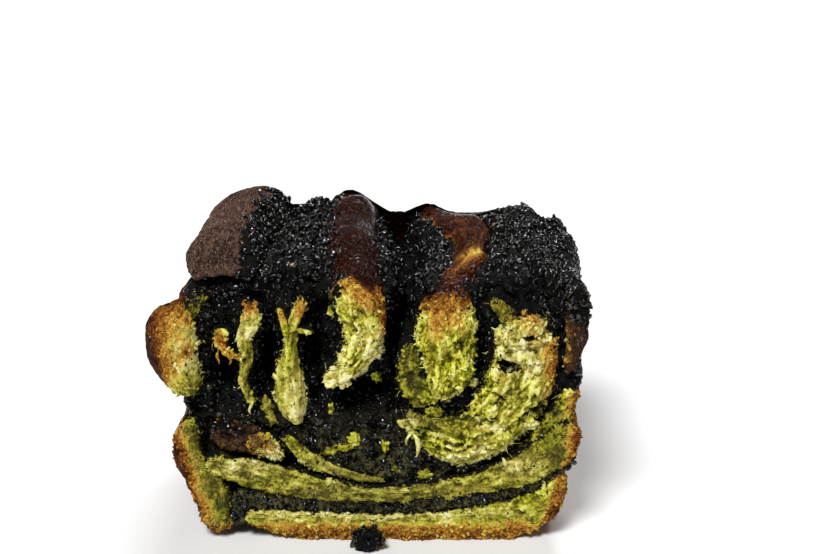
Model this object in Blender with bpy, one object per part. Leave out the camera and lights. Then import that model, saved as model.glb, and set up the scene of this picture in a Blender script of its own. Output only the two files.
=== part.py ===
"""Half of a babka: green dough rolled with black sesame filling, torn across and resting on its bottom crust.

The torn face looks along -Y, the loaf runs back along +Y to its crusted heel, and Z is up.
The origin is the middle of the underside. Lengths in the tables are millimetres.

The loaf is drawn as a map of the torn face: each strand of dough is a centre line in X and Z with half
widths, and it runs back through the loaf. One smooth warp then gives the whole loaf its dome, its
wandering ridges and its rounded heel, so strands that are apart in the map stay apart everywhere.
"""

import math
import random
from dataclasses import dataclass

import bmesh
import bpy
from mathutils import Vector, noise

MM = 0.001

# Driving sizes of the loaf.
LOAF_DEPTH = 100.0
HEEL_THICKNESS = 19.0
HEEL_ROUND = 13.0
GAP = 0.32
DOME_RISE = 6.5
DOME_RUN = 22.0
CENTRE_X = 4.0
REST_BAND = 0.9
SHARP_ANGLE = math.radians(70.0)

# The depth that lies over the origin, the middle of the underside.
ORIGIN_DEPTH = 46.0

# The strands stop short of the heel by one gap. Their sides bend at the stations.
STRAND_END = LOAF_DEPTH - HEEL_THICKNESS - 2 * GAP
OUTER_STATIONS = (9.0, 20.0, 32.0, 46.0, 62.0)
INNER_STATIONS = (16.0, 38.0, 60.0)
FILLING_STATIONS = (14.0, 23.0, 34.0, 47.0, 62.0)

# Colours of crumb, crust and filling, as linear RGB.
CRUMB = (0.52, 0.55, 0.12)
GOLD_CRUST = (0.36, 0.17, 0.04)
DARK_CRUST = (0.06, 0.025, 0.015)
SESAME = (0.012, 0.013, 0.014)


@dataclass
class Strand:
    """One strand of dough. axis holds (x, z, half width) along its centre line on the torn face.

    front is how far its torn face lies behind the foremost plane, bulge how far that face swells
    forward and crag its roughness. settle is the (dx, dz, width scale, height scale) reached behind the
    tear, and regain the share of its first width that it has again near the heel. Its sides bend at the
    stations. end is where a short strand stops; the others run to the heel.
    """

    name: str
    axis: tuple
    rows: int
    columns: int
    front: float = 0.0
    bulge: float = 0.0
    crag: float = 1.0
    edge_round: float = 2.0
    settle: tuple = (0.0, 0.0, 1.0, 1.0)
    settle_run: float = 22.0
    regain: float = 0.0
    stations: tuple = OUTER_STATIONS
    end: float = 0.0
    finish: str = "green_crumb"
    branches: tuple = ()


# Prongs, flaps and side layers that are one with the strand they grow from.
SCRAP = Strand(
    "scrap",
    ((-37.4, 58.0, 1.1), (-40.4, 58.8, 0.9), (-43.0, 60.6, 1.2), (-44.5, 63.6, 2.3), (-43.4, 66.2, 2.0)),
    rows=8, columns=2, front=4.6, crag=0.4, edge_round=0.6, end=10.0,
)
PRONG_LEFT = Strand(
    "prong_left", ((-24.2, 65.0, 1.3), (-26.4, 72.6, 0.9)),
    rows=3, columns=2, front=4.6, crag=0.2, edge_round=0.4, end=12.0,
)
PRONG_SIDE = Strand(
    "prong_side", ((-22.4, 66.6, 1.2), (-17.2, 65.6, 0.7)),
    rows=3, columns=2, front=4.2, crag=0.2, edge_round=0.4, end=12.0,
)
OUTER_WALL = Strand(
    "outer_wall",
    (
        (-53.8, 38.2, 2.6), (-55.4, 33.0, 3.9), (-55.2, 27.0, 4.5), (-52.0, 21.2, 5.4), (-49.0, 15.6, 5.6),
        (-47.8, 9.6, 5.2), (-46.8, 4.4, 3.9),
    ),
    rows=12, columns=4, front=0.4, bulge=1.2, crag=1.6, edge_round=1.6, stations=INNER_STATIONS,
)
DULL_LAYER = Strand(
    "dull_layer", ((51.4, 31.8, 3.3), (57.0, 40.7, 3.2), (60.9, 47.2, 2.7)),
    rows=6, columns=3, front=3.4, crag=1.2, edge_round=1.2, stations=INNER_STATIONS,
)
OLIVE_FLAP = Strand(
    "olive_flap",
    ((11.9, 61.8, 2.2), (12.1, 56.6, 4.0), (12.9, 51.2, 4.2), (15.8, 46.8, 3.2), (19.4, 45.4, 2.3)),
    rows=8, columns=3, front=4.0, bulge=0.6, crag=2.0, edge_round=1.0, end=25.0,
)
OLIVE_CREST = Strand(
    "olive_crest", ((36.6, 74.4, 2.1), (39.0, 72.0, 2.8), (43.4, 68.0, 3.6)),
    rows=5, columns=3, front=5.0, crag=1.6, edge_round=1.4, settle=(-0.6, -2.0, 0.92, 0.94), end=28.0,
)
TORN_TIP = Strand(
    "torn_tip", ((-35.4, 33.2, 2.6), (-30.6, 31.0, 2.8), (-26.8, 28.4, 1.5)),
    rows=5, columns=3, front=0.4, crag=2.4, edge_round=1.0, end=14.0,
)
TORN_BIT = Strand(
    "torn_bit", ((-52.4, 70.6, 2.4), (-50.8, 74.4, 2.4), (-47.6, 76.4, 1.4)),
    rows=4, columns=3, front=4.6, crag=1.6, edge_round=1.0, end=16.0,
)

STRANDS = (
    Strand(
        "dough_bottom_layer",
        (
            (-37.6, 7.2, 2.1), (-30.9, 6.3, 3.6), (-21.7, 5.0, 4.2), (-9.4, 4.4, 4.5), (2.9, 3.9, 4.5),
            (15.2, 4.0, 4.8), (30.6, 4.9, 5.7), (42.9, 6.8, 6.0), (51.4, 10.4, 5.6), (56.4, 16.0, 3.6),
            (58.2, 20.0, 1.8),
        ),
        rows=26, columns=4, front=0.8, crag=1.4, edge_round=1.0, stations=(9.0, 42.0), finish="golden_crust",
    ),
    Strand(
        "dough_second_layer",
        (
            (-49.1, 24.8, 2.8), (-43.1, 23.6, 3.8), (-36.5, 21.8, 4.7), (-27.4, 19.6, 4.6), (-18.3, 17.5, 3.9),
            (-9.0, 15.8, 2.9), (6.1, 15.0, 2.4), (18.3, 16.4, 2.7), (30.5, 18.2, 3.4), (39.6, 20.6, 4.5),
            (48.6, 24.6, 5.4), (56.4, 30.0, 5.5), (60.4, 35.8, 3.9),
        ),
        rows=28, columns=4, front=0.6, crag=2.0, edge_round=1.2, stations=INNER_STATIONS,
        branches=(OUTER_WALL, DULL_LAYER),
    ),
    Strand(
        "dough_thin_leaf",
        (
            (-24.8, 33.0, 1.5), (-21.4, 28.6, 2.1), (-17.0, 25.0, 2.2), (-10.4, 21.9, 1.8), (-3.4, 19.9, 1.3),
            (4.0, 18.7, 0.9),
        ),
        rows=12, columns=2, front=3.2, crag=0.8, edge_round=0.7, stations=INNER_STATIONS,
    ),
    Strand(
        "dough_seeded_lump",
        ((-47.0, 34.6, 3.4), (-41.8, 33.0, 4.8), (-36.0, 31.4, 4.8), (-30.8, 30.0, 3.2)),
        rows=9, columns=5, front=1.4, bulge=2.4, edge_round=2.8, crag=3.0, stations=INNER_STATIONS,
        settle=(1.0, 0.0, 0.9, 0.7), finish="golden_crust", branches=(TORN_TIP,),
    ),
    Strand(
        "dough_left_knob",
        (
            (-55.0, 70.4, 5.6), (-57.9, 66.0, 9.2), (-58.9, 61.4, 9.0), (-58.2, 56.7, 8.0), (-55.8, 52.0, 6.3),
            (-52.9, 48.6, 3.9),
        ),
        rows=11, columns=6, front=0.0, bulge=3.4, crag=1.6, edge_round=4.6,
        settle=(4.6, -2.6, 0.42, 1.1), settle_run=15.0, finish="golden_crust", branches=(TORN_BIT,),
    ),
    Strand(
        "dough_strand_a",
        (
            (-35.0, 71.8, 3.0), (-35.3, 68.4, 3.5), (-36.6, 64.0, 2.9), (-36.8, 59.3, 2.4), (-37.3, 55.0, 2.3),
            (-38.1, 50.7, 1.6), (-36.7, 47.0, 1.4), (-35.6, 43.8, 1.2),
        ),
        rows=15, columns=3, front=4.4, bulge=1.6, edge_round=1.2, settle=(0.0, -4.0, 1.1, 0.9),
        stations=INNER_STATIONS, branches=(SCRAP,),
    ),
    Strand(
        "dough_strand_b",
        (
            (-19.5, 73.2, 1.2), (-22.3, 67.2, 2.1), (-23.5, 62.6, 1.8), (-23.7, 58.4, 2.4), (-24.2, 53.8, 3.8),
            (-24.0, 49.4, 4.6), (-23.8, 44.6, 5.2), (-23.0, 40.3, 4.2), (-21.9, 36.9, 1.8),
        ),
        rows=16, columns=4, front=3.6, bulge=2.8, edge_round=2.2, settle=(0.0, -3.0, 1.0, 0.9),
        stations=INNER_STATIONS, branches=(PRONG_LEFT, PRONG_SIDE),
    ),
    Strand(
        "dough_lobe_crescent",
        (
            (-4.8, 77.4, 6.8), (-2.9, 73.2, 7.4), (-1.1, 68.2, 6.3), (-1.7, 62.0, 5.5), (-4.6, 56.9, 4.4),
            (-8.8, 52.8, 2.6), (-12.8, 51.8, 1.7),
        ),
        rows=17, columns=6, front=0.8, bulge=2.8, crag=2.4, edge_round=3.0, settle=(-1.0, 2.6, 1.08, 1.04),
        finish="glazed_crust",
    ),
    Strand(
        "dough_lobe_middle",
        (
            (22.5, 72.0, 7.2), (22.5, 68.9, 8.8), (22.7, 63.7, 9.3), (23.7, 57.7, 8.3), (23.2, 51.9, 7.2),
            (21.2, 47.0, 4.1),
        ),
        rows=12, columns=7, front=0.0, bulge=3.0, crag=2.6, edge_round=4.2, settle=(1.0, 4.0, 0.72, 1.0),
        regain=1.0, branches=(OLIVE_FLAP,),
    ),
    Strand(
        "dough_lobe_right",
        (
            (47.3, 68.4, 6.4), (46.7, 62.9, 9.8), (45.3, 53.9, 11.0), (42.2, 45.0, 10.8), (36.0, 36.2, 9.9),
            (27.8, 31.9, 8.7), (18.7, 34.0, 5.7), (11.5, 38.4, 2.5),
        ),
        rows=22, columns=7, front=0.8, bulge=2.6, crag=3.6, edge_round=3.4, settle=(-0.6, -2.0, 0.92, 0.94),
        stations=INNER_STATIONS, branches=(OLIVE_CREST,),
    ),
    Strand(
        "dough_right_wall",
        ((61.0, 77.4, 2.7), (62.5, 73.0, 3.1), (62.2, 66.9, 3.1), (61.2, 60.4, 2.7), (60.2, 54.2, 2.1)),
        rows=9, columns=3, front=3.4, crag=0.8, edge_round=1.6, settle=(-0.4, -2.4, 1.1, 1.06),
        finish="glazed_crust",
    ),
    Strand(
        "dough_left_shoulder",
        ((-51.6, 80.4, 2.8), (-47.8, 82.8, 4.0), (-41.4, 83.6, 4.8), (-33.6, 81.0, 2.7)),
        rows=10, columns=5, front=7.0, bulge=1.5, edge_round=5.0, crag=0.8, settle=(-0.6, 0.0, 1.08, 1.1),
        finish="glazed_crust",
    ),
)

# The sheet of filling between the bottom layer and the second one, with its clot at the left.
LOWER_SHEET = Strand(
    "filling_lower",
    (
        (-40.4, 5.2, 2.2), (-40.3, 11.2, 3.0), (-34.5, 12.6, 3.8), (-21.0, 12.0, 4.0), (-6.0, 10.7, 3.6),
        (9.0, 10.3, 3.6), (24.0, 11.9, 4.0), (39.0, 15.4, 4.2), (49.0, 19.2, 4.2), (56.5, 24.2, 3.4),
        (60.6, 28.6, 2.4),
    ),
    rows=22, columns=2, front=2.8, crag=0.8, edge_round=0.8, stations=(40.0,),
)

# Wells in the torn filling, as (x, z, radius across, radius up, extra depth).
FILLING_WELLS = (
    (-43.5, 54.0, 3.6, 8.5, 15.0),
    (-30.5, 55.0, 3.6, 11.0, 15.0),
    (-16.0, 60.0, 4.4, 11.0, 12.0),
    (-9.0, 64.0, 3.6, 8.0, 6.0),
    (9.6, 60.0, 3.2, 19.0, 15.0),
    (-4.0, 46.0, 12.0, 4.6, 14.0),
    (-27.5, 24.5, 5.0, 2.8, 11.0),
    (33.6, 52.0, 1.8, 12.0, 6.0),
)

# Pits and folds in the torn dough, in the same form.
DOUGH_PITS = (
    (41.2, 57.0, 3.4, 1.6, 5.0),
    (31.5, 38.0, 6.5, 1.5, 4.5),
    (50.5, 43.0, 4.0, 1.8, 3.5),
    (23.0, 40.6, 5.0, 1.6, 3.0),
    (15.8, 53.4, 1.8, 5.0, 1.2),
    (-57.5, 29.5, 1.6, 2.2, 2.2),
)
FILLING_FRONT = 7.5

# Ridges and grooves of the seeded top, as (x, half width, height against the plain top).
TOP_RIDGES = ((-23.0, 9.0, 4.6), (9.8, 3.6, -9.0), (23.0, 6.0, -2.4), (36.0, 5.0, 1.6), (52.0, 8.0, 3.4))
FILLING_TOP = 77.0

# Height of the crust at the heel, from left to right.
HEEL_TOP = (
    (-60.0, 71.0), (-56.0, 81.0), (-49.0, 87.0), (-42.0, 88.0), (-30.0, 82.0), (-16.0, 79.5), (-4.0, 86.0),
    (9.8, 77.5), (23.0, 80.5), (42.0, 81.0), (53.0, 79.5), (60.0, 73.5), (64.5, 64.0),
)

# How far a ridge of the top wanders sideways at each depth, as (x, reach, ((depth, shift), ...)).
RIDGE_DRIFTS = (
    (24.0, 13.0, ((0.0, 0.0), (6.0, 0.6), (24.0, 7.8), (42.0, 11.0), (62.0, 6.0), (84.0, -1.0))),
    (-4.0, 11.0, ((0.0, 0.0), (20.0, -2.6), (38.0, -6.0), (60.0, -6.4), (84.0, -3.0))),
    (-42.0, 13.0, ((0.0, 0.0), (26.0, -1.6), (46.0, -0.6), (64.0, 3.4), (88.0, 2.0))),
)

SEED_COUNT = 30
SEED_RANDOM = 17
SEED_SIZE = (1.2, 2.0)

# The loose clot of filling before the loaf: its middle (x, depth) and its half sizes.
CLOT_PLACE = (-0.6, -4.3)
CLOT_SIZE = (4.4, 3.8, 3.9)


def smoothstep(low, high, value):
    """0 below low, 1 above high, and a smooth ramp between them."""
    share = min(1.0, max(0.0, (value - low) / (high - low)))
    return share * share * (3.0 - 2.0 * share)


def along(table, value):
    """Reads a table of (place, amount) at value, with smooth ramps between its places."""
    if value <= table[0][0]:
        return table[0][1]
    for (start, low), (end, high) in zip(table, table[1:]):
        if value <= end:
            return low + (high - low) * smoothstep(start, end, value)
    return table[-1][1]


def catmull_rom(points, position):
    """A smooth curve through points, read at position, which counts points from the first."""
    last = len(points) - 1
    index = min(last - 1, max(0, int(position)))
    t = position - index
    before, start = points[max(0, index - 1)], points[index]
    end, after = points[index + 1], points[min(last, index + 2)]
    return tuple(
        b + 0.5 * t * (c - a + t * (2 * a - 5 * b + 4 * c - d + t * (3 * b - a - 3 * c + d)))
        for a, b, c, d in zip(before, start, end, after)
    )


def side_left(height):
    """X of the loaf's left side, leaning out as its tin does."""
    return -45.5 - 5.0 * smoothstep(-3.0, 7.0, height) - 9.5 * smoothstep(0.0, 36.0, height)


def side_right(height):
    """X of the loaf's right side."""
    return 49.0 + 5.5 * smoothstep(-3.0, 7.0, height) + 10.0 * smoothstep(0.0, 46.0, height)


def warp(x, depth, z):
    """Carries a point of the map, at that depth, to its place in the loaf, as a Vector in metres."""
    high = smoothstep(42.0, 82.0, z)
    shift = sum(
        along(drift, depth) * math.exp(-(((x - centre) / reach) ** 2)) for centre, reach, drift in RIDGE_DRIFTS
    )
    dome = DOME_RISE * smoothstep(-4.0, DOME_RUN, depth)
    dome *= 1.0 - 0.55 * smoothstep(66.0, LOAF_DEPTH, depth)
    crown = 1.0 - 0.35 * ((x - CENTRE_X) / 60.0) ** 2
    place = Vector((x / 24.0, depth / 19.0, z / 22.0))
    settled = smoothstep(4.0, 26.0, depth)
    lump_x = 3.2 * settled * noise.noise(place)
    lump_z = 2.0 * settled * noise.noise(place + Vector((7.3, 1.9, 4.1)))
    lump_z += 4.0 * settled * high * noise.noise(place * 1.3 + Vector((2.2, 5.6, 0.7)))
    heel = 1.0 - 0.10 * smoothstep(60.0, LOAF_DEPTH, depth) ** 2
    warped_x = CENTRE_X + (x + shift * high + lump_x - CENTRE_X) * heel
    warped_z = z + dome * high * crown + lump_z * smoothstep(0.0, 14.0, z)
    warped_z *= 1.0 - (1.0 - heel) * 0.6
    if warped_z < REST_BAND:
        warped_z = 0.0
    return Vector((warped_x, depth - ORIGIN_DEPTH, warped_z)) * MM


def strand_rows(strand, grow=0.0):
    """The strand's section as rows of (x, z, nearness to the edge), with blunt round ends."""
    axis = tuple((x, z, half + grow) for x, z, half in strand.axis)
    last = len(axis) - 1
    fine = [catmull_rom(axis, last * step / 80.0) for step in range(81)]
    lengths = [0.0]
    for a, b in zip(fine, fine[1:]):
        lengths.append(lengths[-1] + math.hypot(b[0] - a[0], b[1] - a[1]))
    total = lengths[-1]
    caps = [0.45 * strand.axis[end][2] + grow for end in (0, -1)]
    rows = []
    for row in range(strand.rows + 1):
        turn = row / strand.rows
        eased = turn - 0.05 * math.sin(2 * math.pi * turn)
        distance = -caps[0] + (total + sum(caps)) * eased
        inside = min(total, max(0.0, distance))
        index = next(i for i in range(1, 81) if lengths[i] >= inside - 1e-9)
        share = (inside - lengths[index - 1]) / max(1e-9, lengths[index] - lengths[index - 1])
        x, z, half = (a + (b - a) * share for a, b in zip(fine[index - 1], fine[index]))
        tx, tz = fine[index][0] - fine[index - 1][0], fine[index][1] - fine[index - 1][1]
        size = math.hypot(tx, tz)
        tx, tz = tx / size, tz / size
        beyond = distance - inside
        cap = caps[0] if beyond < 0 else caps[1]
        half *= math.sqrt(1.0 - 0.8 * (beyond / cap) ** 2)
        x, z = x + tx * beyond, z + tz * beyond
        from_end = min(distance + caps[0], total + caps[1] - distance)
        end_nearness = 1.0 - min(1.0, from_end / max(1.2, half))
        cells = []
        for column in range(strand.columns + 1):
            across = math.sin(math.pi * (column / strand.columns - 0.5))
            edge = min(1.0, math.hypot(across, end_nearness))
            cells.append((x - tz * half * across, z + tx * half * across, edge))
        rows.append(cells)
    return rows


def perimeter(rows, columns):
    """Grid places round the edge of a rows by columns grid, in order."""
    return (
        [(0, c) for c in range(columns)]
        + [(r, columns) for r in range(rows)]
        + [(rows, c) for c in range(columns, 0, -1)]
        + [(r, 0) for r in range(rows, 0, -1)]
    )


def add_grid(mesh, grid):
    """Faces between the neighbours of a grid of vertices."""
    for row, following in zip(grid, grid[1:]):
        for column in range(len(row) - 1):
            mesh.faces.new((row[column], row[column + 1], following[column + 1], following[column]))


def add_band(mesh, ring, following):
    """Faces between two closed rings, where the second has as many vertices or half of them."""
    count = len(ring)
    if len(following) == count:
        for index in range(count):
            after = (index + 1) % count
            mesh.faces.new((ring[index], ring[after], following[after], following[index]))
        return
    for index in range(0, count, 2):
        near, far = following[index // 2], following[(index // 2 + 1) % len(following)]
        mesh.faces.new((ring[index], ring[index + 1], near))
        mesh.faces.new((ring[index + 1], far, near))
        mesh.faces.new((ring[index + 1], ring[(index + 2) % count], far))


def prism(name, grid, stations, place, front, back=None):
    """A closed solid from a section grid of (x, z, nearness) cells.

    place gives the point of a cell's (x, z) at a depth, and front and back the points of those two faces.
    The sides pass through the stations and thin out to every second vertex past the first. Without back,
    a flat face closes them.
    """
    rows, columns = len(grid) - 1, len(grid[0]) - 1
    mesh = bmesh.new()
    face = [[mesh.verts.new(front(*cell)) for cell in row] for row in grid]
    add_grid(mesh, face)
    edge = perimeter(rows, columns)
    step = 1 if back else 2
    rings = [[face[r][c] for r, c in edge]]
    for depth in stations:
        rings.append([mesh.verts.new(place(*grid[r][c][:2], depth)) for r, c in edge[::step]])
    if back:
        rear = [[mesh.verts.new(back(*cell)) for cell in row] for row in grid]
        rings.append([rear[r][c] for r, c in edge])
        add_grid(mesh, rear)
    else:
        mesh.faces.new(rings[-1])
    for ring, following in zip(rings, rings[1:]):
        add_band(mesh, ring, following)
    bmesh.ops.recalc_face_normals(mesh, faces=mesh.faces)
    bmesh.ops.triangulate(mesh, faces=mesh.faces, quad_method="FIXED")
    data = bpy.data.meshes.new(name)
    mesh.to_mesh(data)
    mesh.free()
    return data


def wells(table, x, z):
    """The depth that the wells of a table add at a place on the face."""
    total = 0.0
    for well_x, well_z, wide, tall, extra in table:
        total += extra * math.exp(-(((x - well_x) / wide) ** 2) - ((z - well_z) / tall) ** 2)
    return total


def crags(x, z, amount):
    """The torn crumb's relief at a place on the face, in millimetres of depth."""
    place = Vector((x / 6.5, 3.7, z / 6.5))
    return amount * (noise.noise(place) + 0.7 * noise.noise(place * 2.3))


def grown_cell(own, wide):
    """A cell moved out to its place in the thicker section where it is near the edge."""
    (x, z, edge), (wide_x, wide_z, _) = own, wide
    share = smoothstep(0.6, 1.0, edge)
    return x + (wide_x - x) * share, z + (wide_z - z) * share, edge, x, z


def strand_mesh(strand, grow=0.0):
    """A strand of dough from its torn face back to the heel, made thicker on every side by grow.

    Both thicknesses take their relief from the same places, so one always encloses the other.
    """
    sections = zip(strand_rows(strand), strand_rows(strand, grow))
    grid = [[grown_cell(own, wide) for own, wide in zip(*rows)] for rows in sections]
    middle = catmull_rom(strand.axis, (len(strand.axis) - 1) / 2.0)
    dx, dz, scale_x, scale_z = strand.settle

    def place(x, z, depth):
        share = smoothstep(strand.front + 6.0, strand.front + strand.settle_run, depth)
        narrowing = (scale_x - 1.0) * (1.0 - strand.regain * smoothstep(34.0, 66.0, depth))
        settled_x = x + share * (dx + (x - middle[0]) * narrowing)
        settled_z = z + share * (dz + (z - middle[1]) * (scale_z - 1.0))
        return warp(settled_x, depth, settled_z)

    def torn(x, z, edge, own_x, own_z):
        depth = strand.front + (strand.bulge + strand.edge_round) * edge**3
        relief = crags(own_x, own_z, strand.crag) + wells(DOUGH_PITS, own_x, own_z)
        return place(x, z, max(strand.front, depth + relief * (1.0 - 0.7 * edge)) - grow)

    end = (strand.end or STRAND_END) + grow
    first = strand.front + strand.bulge + strand.edge_round + 1.6
    stations = [first] + [depth for depth in strand.stations if first + 3.0 < depth < end - 3.0] + [end]
    return prism(strand.name, grid, stations, place, torn)


def filling_top(x):
    """Height of the seeded top between the lobes, in the map."""
    ridges = sum(height * math.exp(-(((x - centre) / half) ** 2)) for centre, half, height in TOP_RIDGES)
    return FILLING_TOP + ridges - 6.5 * smoothstep(44.0, 62.0, abs(x - CENTRE_X))


def filling_side(z):
    """X of the filling's left and right sides, which swell where they show between the crusts."""
    left = -53.4 - 2.2 * math.exp(-(((z - 43.5) / 4.5) ** 2))
    right = 60.4 + 2.4 * math.exp(-(((z - 51.5) / 4.5) ** 2))
    return left, right


def second_layer_line(x):
    """Height of the second layer's middle at x, where the upper filling starts."""
    axis = next(strand.axis for strand in STRANDS if strand.name == "dough_second_layer")
    for (xa, za, _), (xb, zb, _) in zip(axis, axis[1:]):
        if x <= xb:
            return za + (zb - za) * max(0.0, (x - xa) / (xb - xa))
    return axis[-1][1]


def filling_front(x, z):
    """How deep the torn filling lies behind the foremost plane, with its wells."""
    depth = FILLING_FRONT + crags(x, z, 3.2) + wells(FILLING_WELLS, x, z)
    return depth + 4.0 * smoothstep(68.0, 80.0, z) - 3.0 * smoothstep(34.0, 18.0, z)


def upper_filling_mesh():
    """The black mass between the lobes and over the second layer, before the dough is cut out of it."""
    rows, columns = 14, 30
    left, right = filling_side(0.0)
    grid = []
    for row in range(rows + 1):
        cells = []
        for column in range(columns + 1):
            share = column / columns
            x = left + (right - left) * share
            low = second_layer_line(x)
            z = low + (filling_top(x) - low) * row / rows
            wide_left, wide_right = filling_side(z)
            x += (wide_left - left) * (1.0 - share) ** 6 + (wide_right - right) * share**6
            cells.append((x, z, 0.0))
        grid.append(cells)

    def torn(x, z, _):
        return warp(x, filling_front(x, z), z)

    def place(x, z, depth):
        first = filling_front(x, z)
        depth = first + (STRAND_END - first) * (depth - FILLING_FRONT) / (STRAND_END - FILLING_FRONT)
        near_top = smoothstep(filling_top(x) - 3.0, filling_top(x), z)
        return warp(x, depth, z + near_top * noise.noise(Vector((x / 6.0, depth / 6.0, 9.1))))

    return prism("filling_upper", grid, [*FILLING_STATIONS, STRAND_END], place, torn)


def heel_section(columns, rows):
    """A grid over the whole section of the loaf at its heel."""
    grid = []
    for row in range(rows + 1):
        rise = row / rows
        cells = []
        for column in range(columns + 1):
            share = 0.5 - 0.5 * math.cos(math.pi * (0.08 + 0.84 * column / columns)) / math.cos(math.pi * 0.08)
            middle = side_left(60.0) + (side_right(60.0) - side_left(60.0)) * share
            z = along(HEEL_TOP, middle) * rise
            x = side_left(z) + (side_right(z) - side_left(z)) * share
            cells.append((x, z, (abs(2 * share - 1) ** 4 + abs(2 * rise - 1) ** 4) ** 0.25))
        grid.append(cells)
    return grid


def heel_mesh():
    """The crusted end of the loaf, creased where the two strands were tucked under."""
    creases = ((-24.0, 9.0), (24.0, 8.0))

    def place(x, z, depth):
        return warp(x, depth, z)

    def front(x, z, _):
        return warp(x, LOAF_DEPTH - HEEL_THICKNESS, z)

    def back(x, z, nearness):
        fall = min(1.0, max(0.0, (nearness - 0.55) / 0.45))
        depth = LOAF_DEPTH + 0.6 - HEEL_ROUND * (1.0 - math.sqrt(1.0 - fall**2)) + crags(x * 0.4, z * 0.4, 3.2)
        creased = smoothstep(6.0, 60.0, z) * (1.0 - 0.8 * fall)
        for crease_x, crease_depth in creases:
            line = crease_x + 0.12 * (z - 40.0)
            depth -= crease_depth * creased * math.exp(-(((x - line) / 7.0) ** 2))
        return warp(x, min(LOAF_DEPTH, depth), z)

    return prism("dough_heel", heel_section(18, 9), [], place, front, back)


def clot_mesh():
    """The loose clot of filling that lies before the loaf, flat underneath."""
    mesh = bmesh.new()
    bmesh.ops.create_icosphere(mesh, subdivisions=2, radius=1.0)
    for vertex in mesh.verts:
        swell = 1.0 + 0.28 * noise.noise(vertex.co * 1.7 + Vector((4.0, 2.0, 9.0)))
        x, y, z = (vertex.co[i] * CLOT_SIZE[i] * swell for i in range(3))
        z = max(0.0, z + 0.75 * CLOT_SIZE[2])
        place = (x + CLOT_PLACE[0], y + CLOT_PLACE[1] - ORIGIN_DEPTH, z)
        vertex.co = Vector(place) * MM
    data = bpy.data.meshes.new("filling_clot")
    mesh.to_mesh(data)
    mesh.free()
    return data


def material(name, colour, roughness):
    """A plain Principled material."""
    made = bpy.data.materials.new(name)
    made.use_nodes = True
    shader = made.node_tree.nodes["Principled BSDF"]
    shader.inputs["Base Color"].default_value = (*colour, 1.0)
    shader.inputs["Roughness"].default_value = roughness
    shader.inputs["Metallic"].default_value = 0.0
    return made


def shade(data):
    """Smooth shading, with only the hard corners left sharp."""
    data.shade_smooth()
    data.set_sharp_from_angle(angle=SHARP_ANGLE)


def add_object(name, data, finish=None, collection=None):
    """Puts a mesh in the scene, or in a collection of it, as one named object, shaded smooth."""
    shade(data)
    made = bpy.data.objects.new(name, data)
    if finish:
        data.materials.append(finish)
    (collection or bpy.context.scene.collection).objects.link(made)
    return made


def helper_collection(name):
    """A collection for cutters and other helpers, which no render shows."""
    made = bpy.data.collections.new(name)
    bpy.context.scene.collection.children.link(made)
    made.hide_render = True
    return made


def add_helper(data, collection):
    """A helper object, drawn as wires and never rendered."""
    helper = add_object(data.name, data, collection=collection)
    helper.hide_render = True
    helper.display_type = "WIRE"
    return helper


def remove_helpers(collection):
    """Removes a collection and the helpers in it."""
    for helper in list(collection.objects):
        bpy.data.objects.remove(helper)
    bpy.data.collections.remove(collection)


def near_dough(x, z, margin):
    """True where a place of the map lies within margin of a strand."""
    for strand in STRANDS:
        steps = 4 * len(strand.axis)
        for step in range(steps + 1):
            ax, az, half = catmull_rom(strand.axis, (len(strand.axis) - 1) * step / steps)
            if math.hypot(x - ax, z - az) < half * 1.15 + margin:
                return True
    return False


def add_seeds(collection):
    """Whole seeds and clots of the filling, half sunk in its top and its torn face, clear of the dough."""
    draw = random.Random(SEED_RANDOM)
    made = 0
    while made < SEED_COUNT:
        x, size = draw.uniform(-46.0, 56.0), draw.uniform(*SEED_SIZE)
        turn, tilt = draw.uniform(0.0, math.pi), draw.uniform(-0.5, 0.5)
        on_top = made % 3 < 2
        z, depth = filling_top(x), draw.uniform(16.0, 80.0)
        if not on_top:
            z = draw.uniform(26.0, 74.0)
            depth = filling_front(x, z)
        if near_dough(x, z, 3.4):
            continue
        mesh = bmesh.new()
        bmesh.ops.create_uvsphere(mesh, u_segments=6, v_segments=4, radius=size * MM)
        bmesh.ops.scale(mesh, vec=(1.35, 0.85, 0.75), verts=mesh.verts)
        data = bpy.data.meshes.new(f"seed_{made:02d}")
        mesh.to_mesh(data)
        mesh.free()
        seed = add_helper(data, collection)
        seed.location = warp(x, depth, z)
        seed.rotation_euler = (tilt, tilt * 0.6, turn)
        made += 1


def apply_boolean(obj, operation, collection):
    """Joins obj with a whole collection, or cuts it by one, and keeps the largest piece."""
    modifier = obj.modifiers.new(operation.title(), "BOOLEAN")
    modifier.operation = operation
    modifier.operand_type = "COLLECTION"
    modifier.collection = collection
    modifier.solver = "EXACT"
    evaluated = obj.evaluated_get(bpy.context.evaluated_depsgraph_get())
    data = bpy.data.meshes.new_from_object(evaluated)
    obj.modifiers.clear()
    obj.data = data
    data.name = obj.name
    keep_largest_shell(data)
    shade(data)


def keep_largest_shell(data):
    """Deletes every loose piece of a mesh but the largest."""
    mesh = bmesh.new()
    mesh.from_mesh(data)
    waiting, shells = set(mesh.verts), []
    while waiting:
        frontier, shell = [waiting.pop()], []
        while frontier:
            vertex = frontier.pop()
            shell.append(vertex)
            others = [link.other_vert(vertex) for link in vertex.link_edges]
            fresh = [other for other in others if other in waiting]
            waiting.difference_update(fresh)
            frontier.extend(fresh)
        shells.append(shell)
    shells.sort(key=len, reverse=True)
    loose = [vertex for shell in shells[1:] for vertex in shell]
    bmesh.ops.delete(mesh, geom=loose, context="VERTS")
    mesh.to_mesh(data)
    mesh.free()


def add_strand(strand, finishes):
    """A strand with its branches joined to it."""
    made = add_object(strand.name, strand_mesh(strand), finishes[strand.finish])
    if strand.branches:
        joined = helper_collection(strand.name + "_branches")
        for branch in strand.branches:
            add_helper(strand_mesh(branch), joined)
        apply_boolean(made, "UNION", joined)
        remove_helpers(joined)


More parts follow.
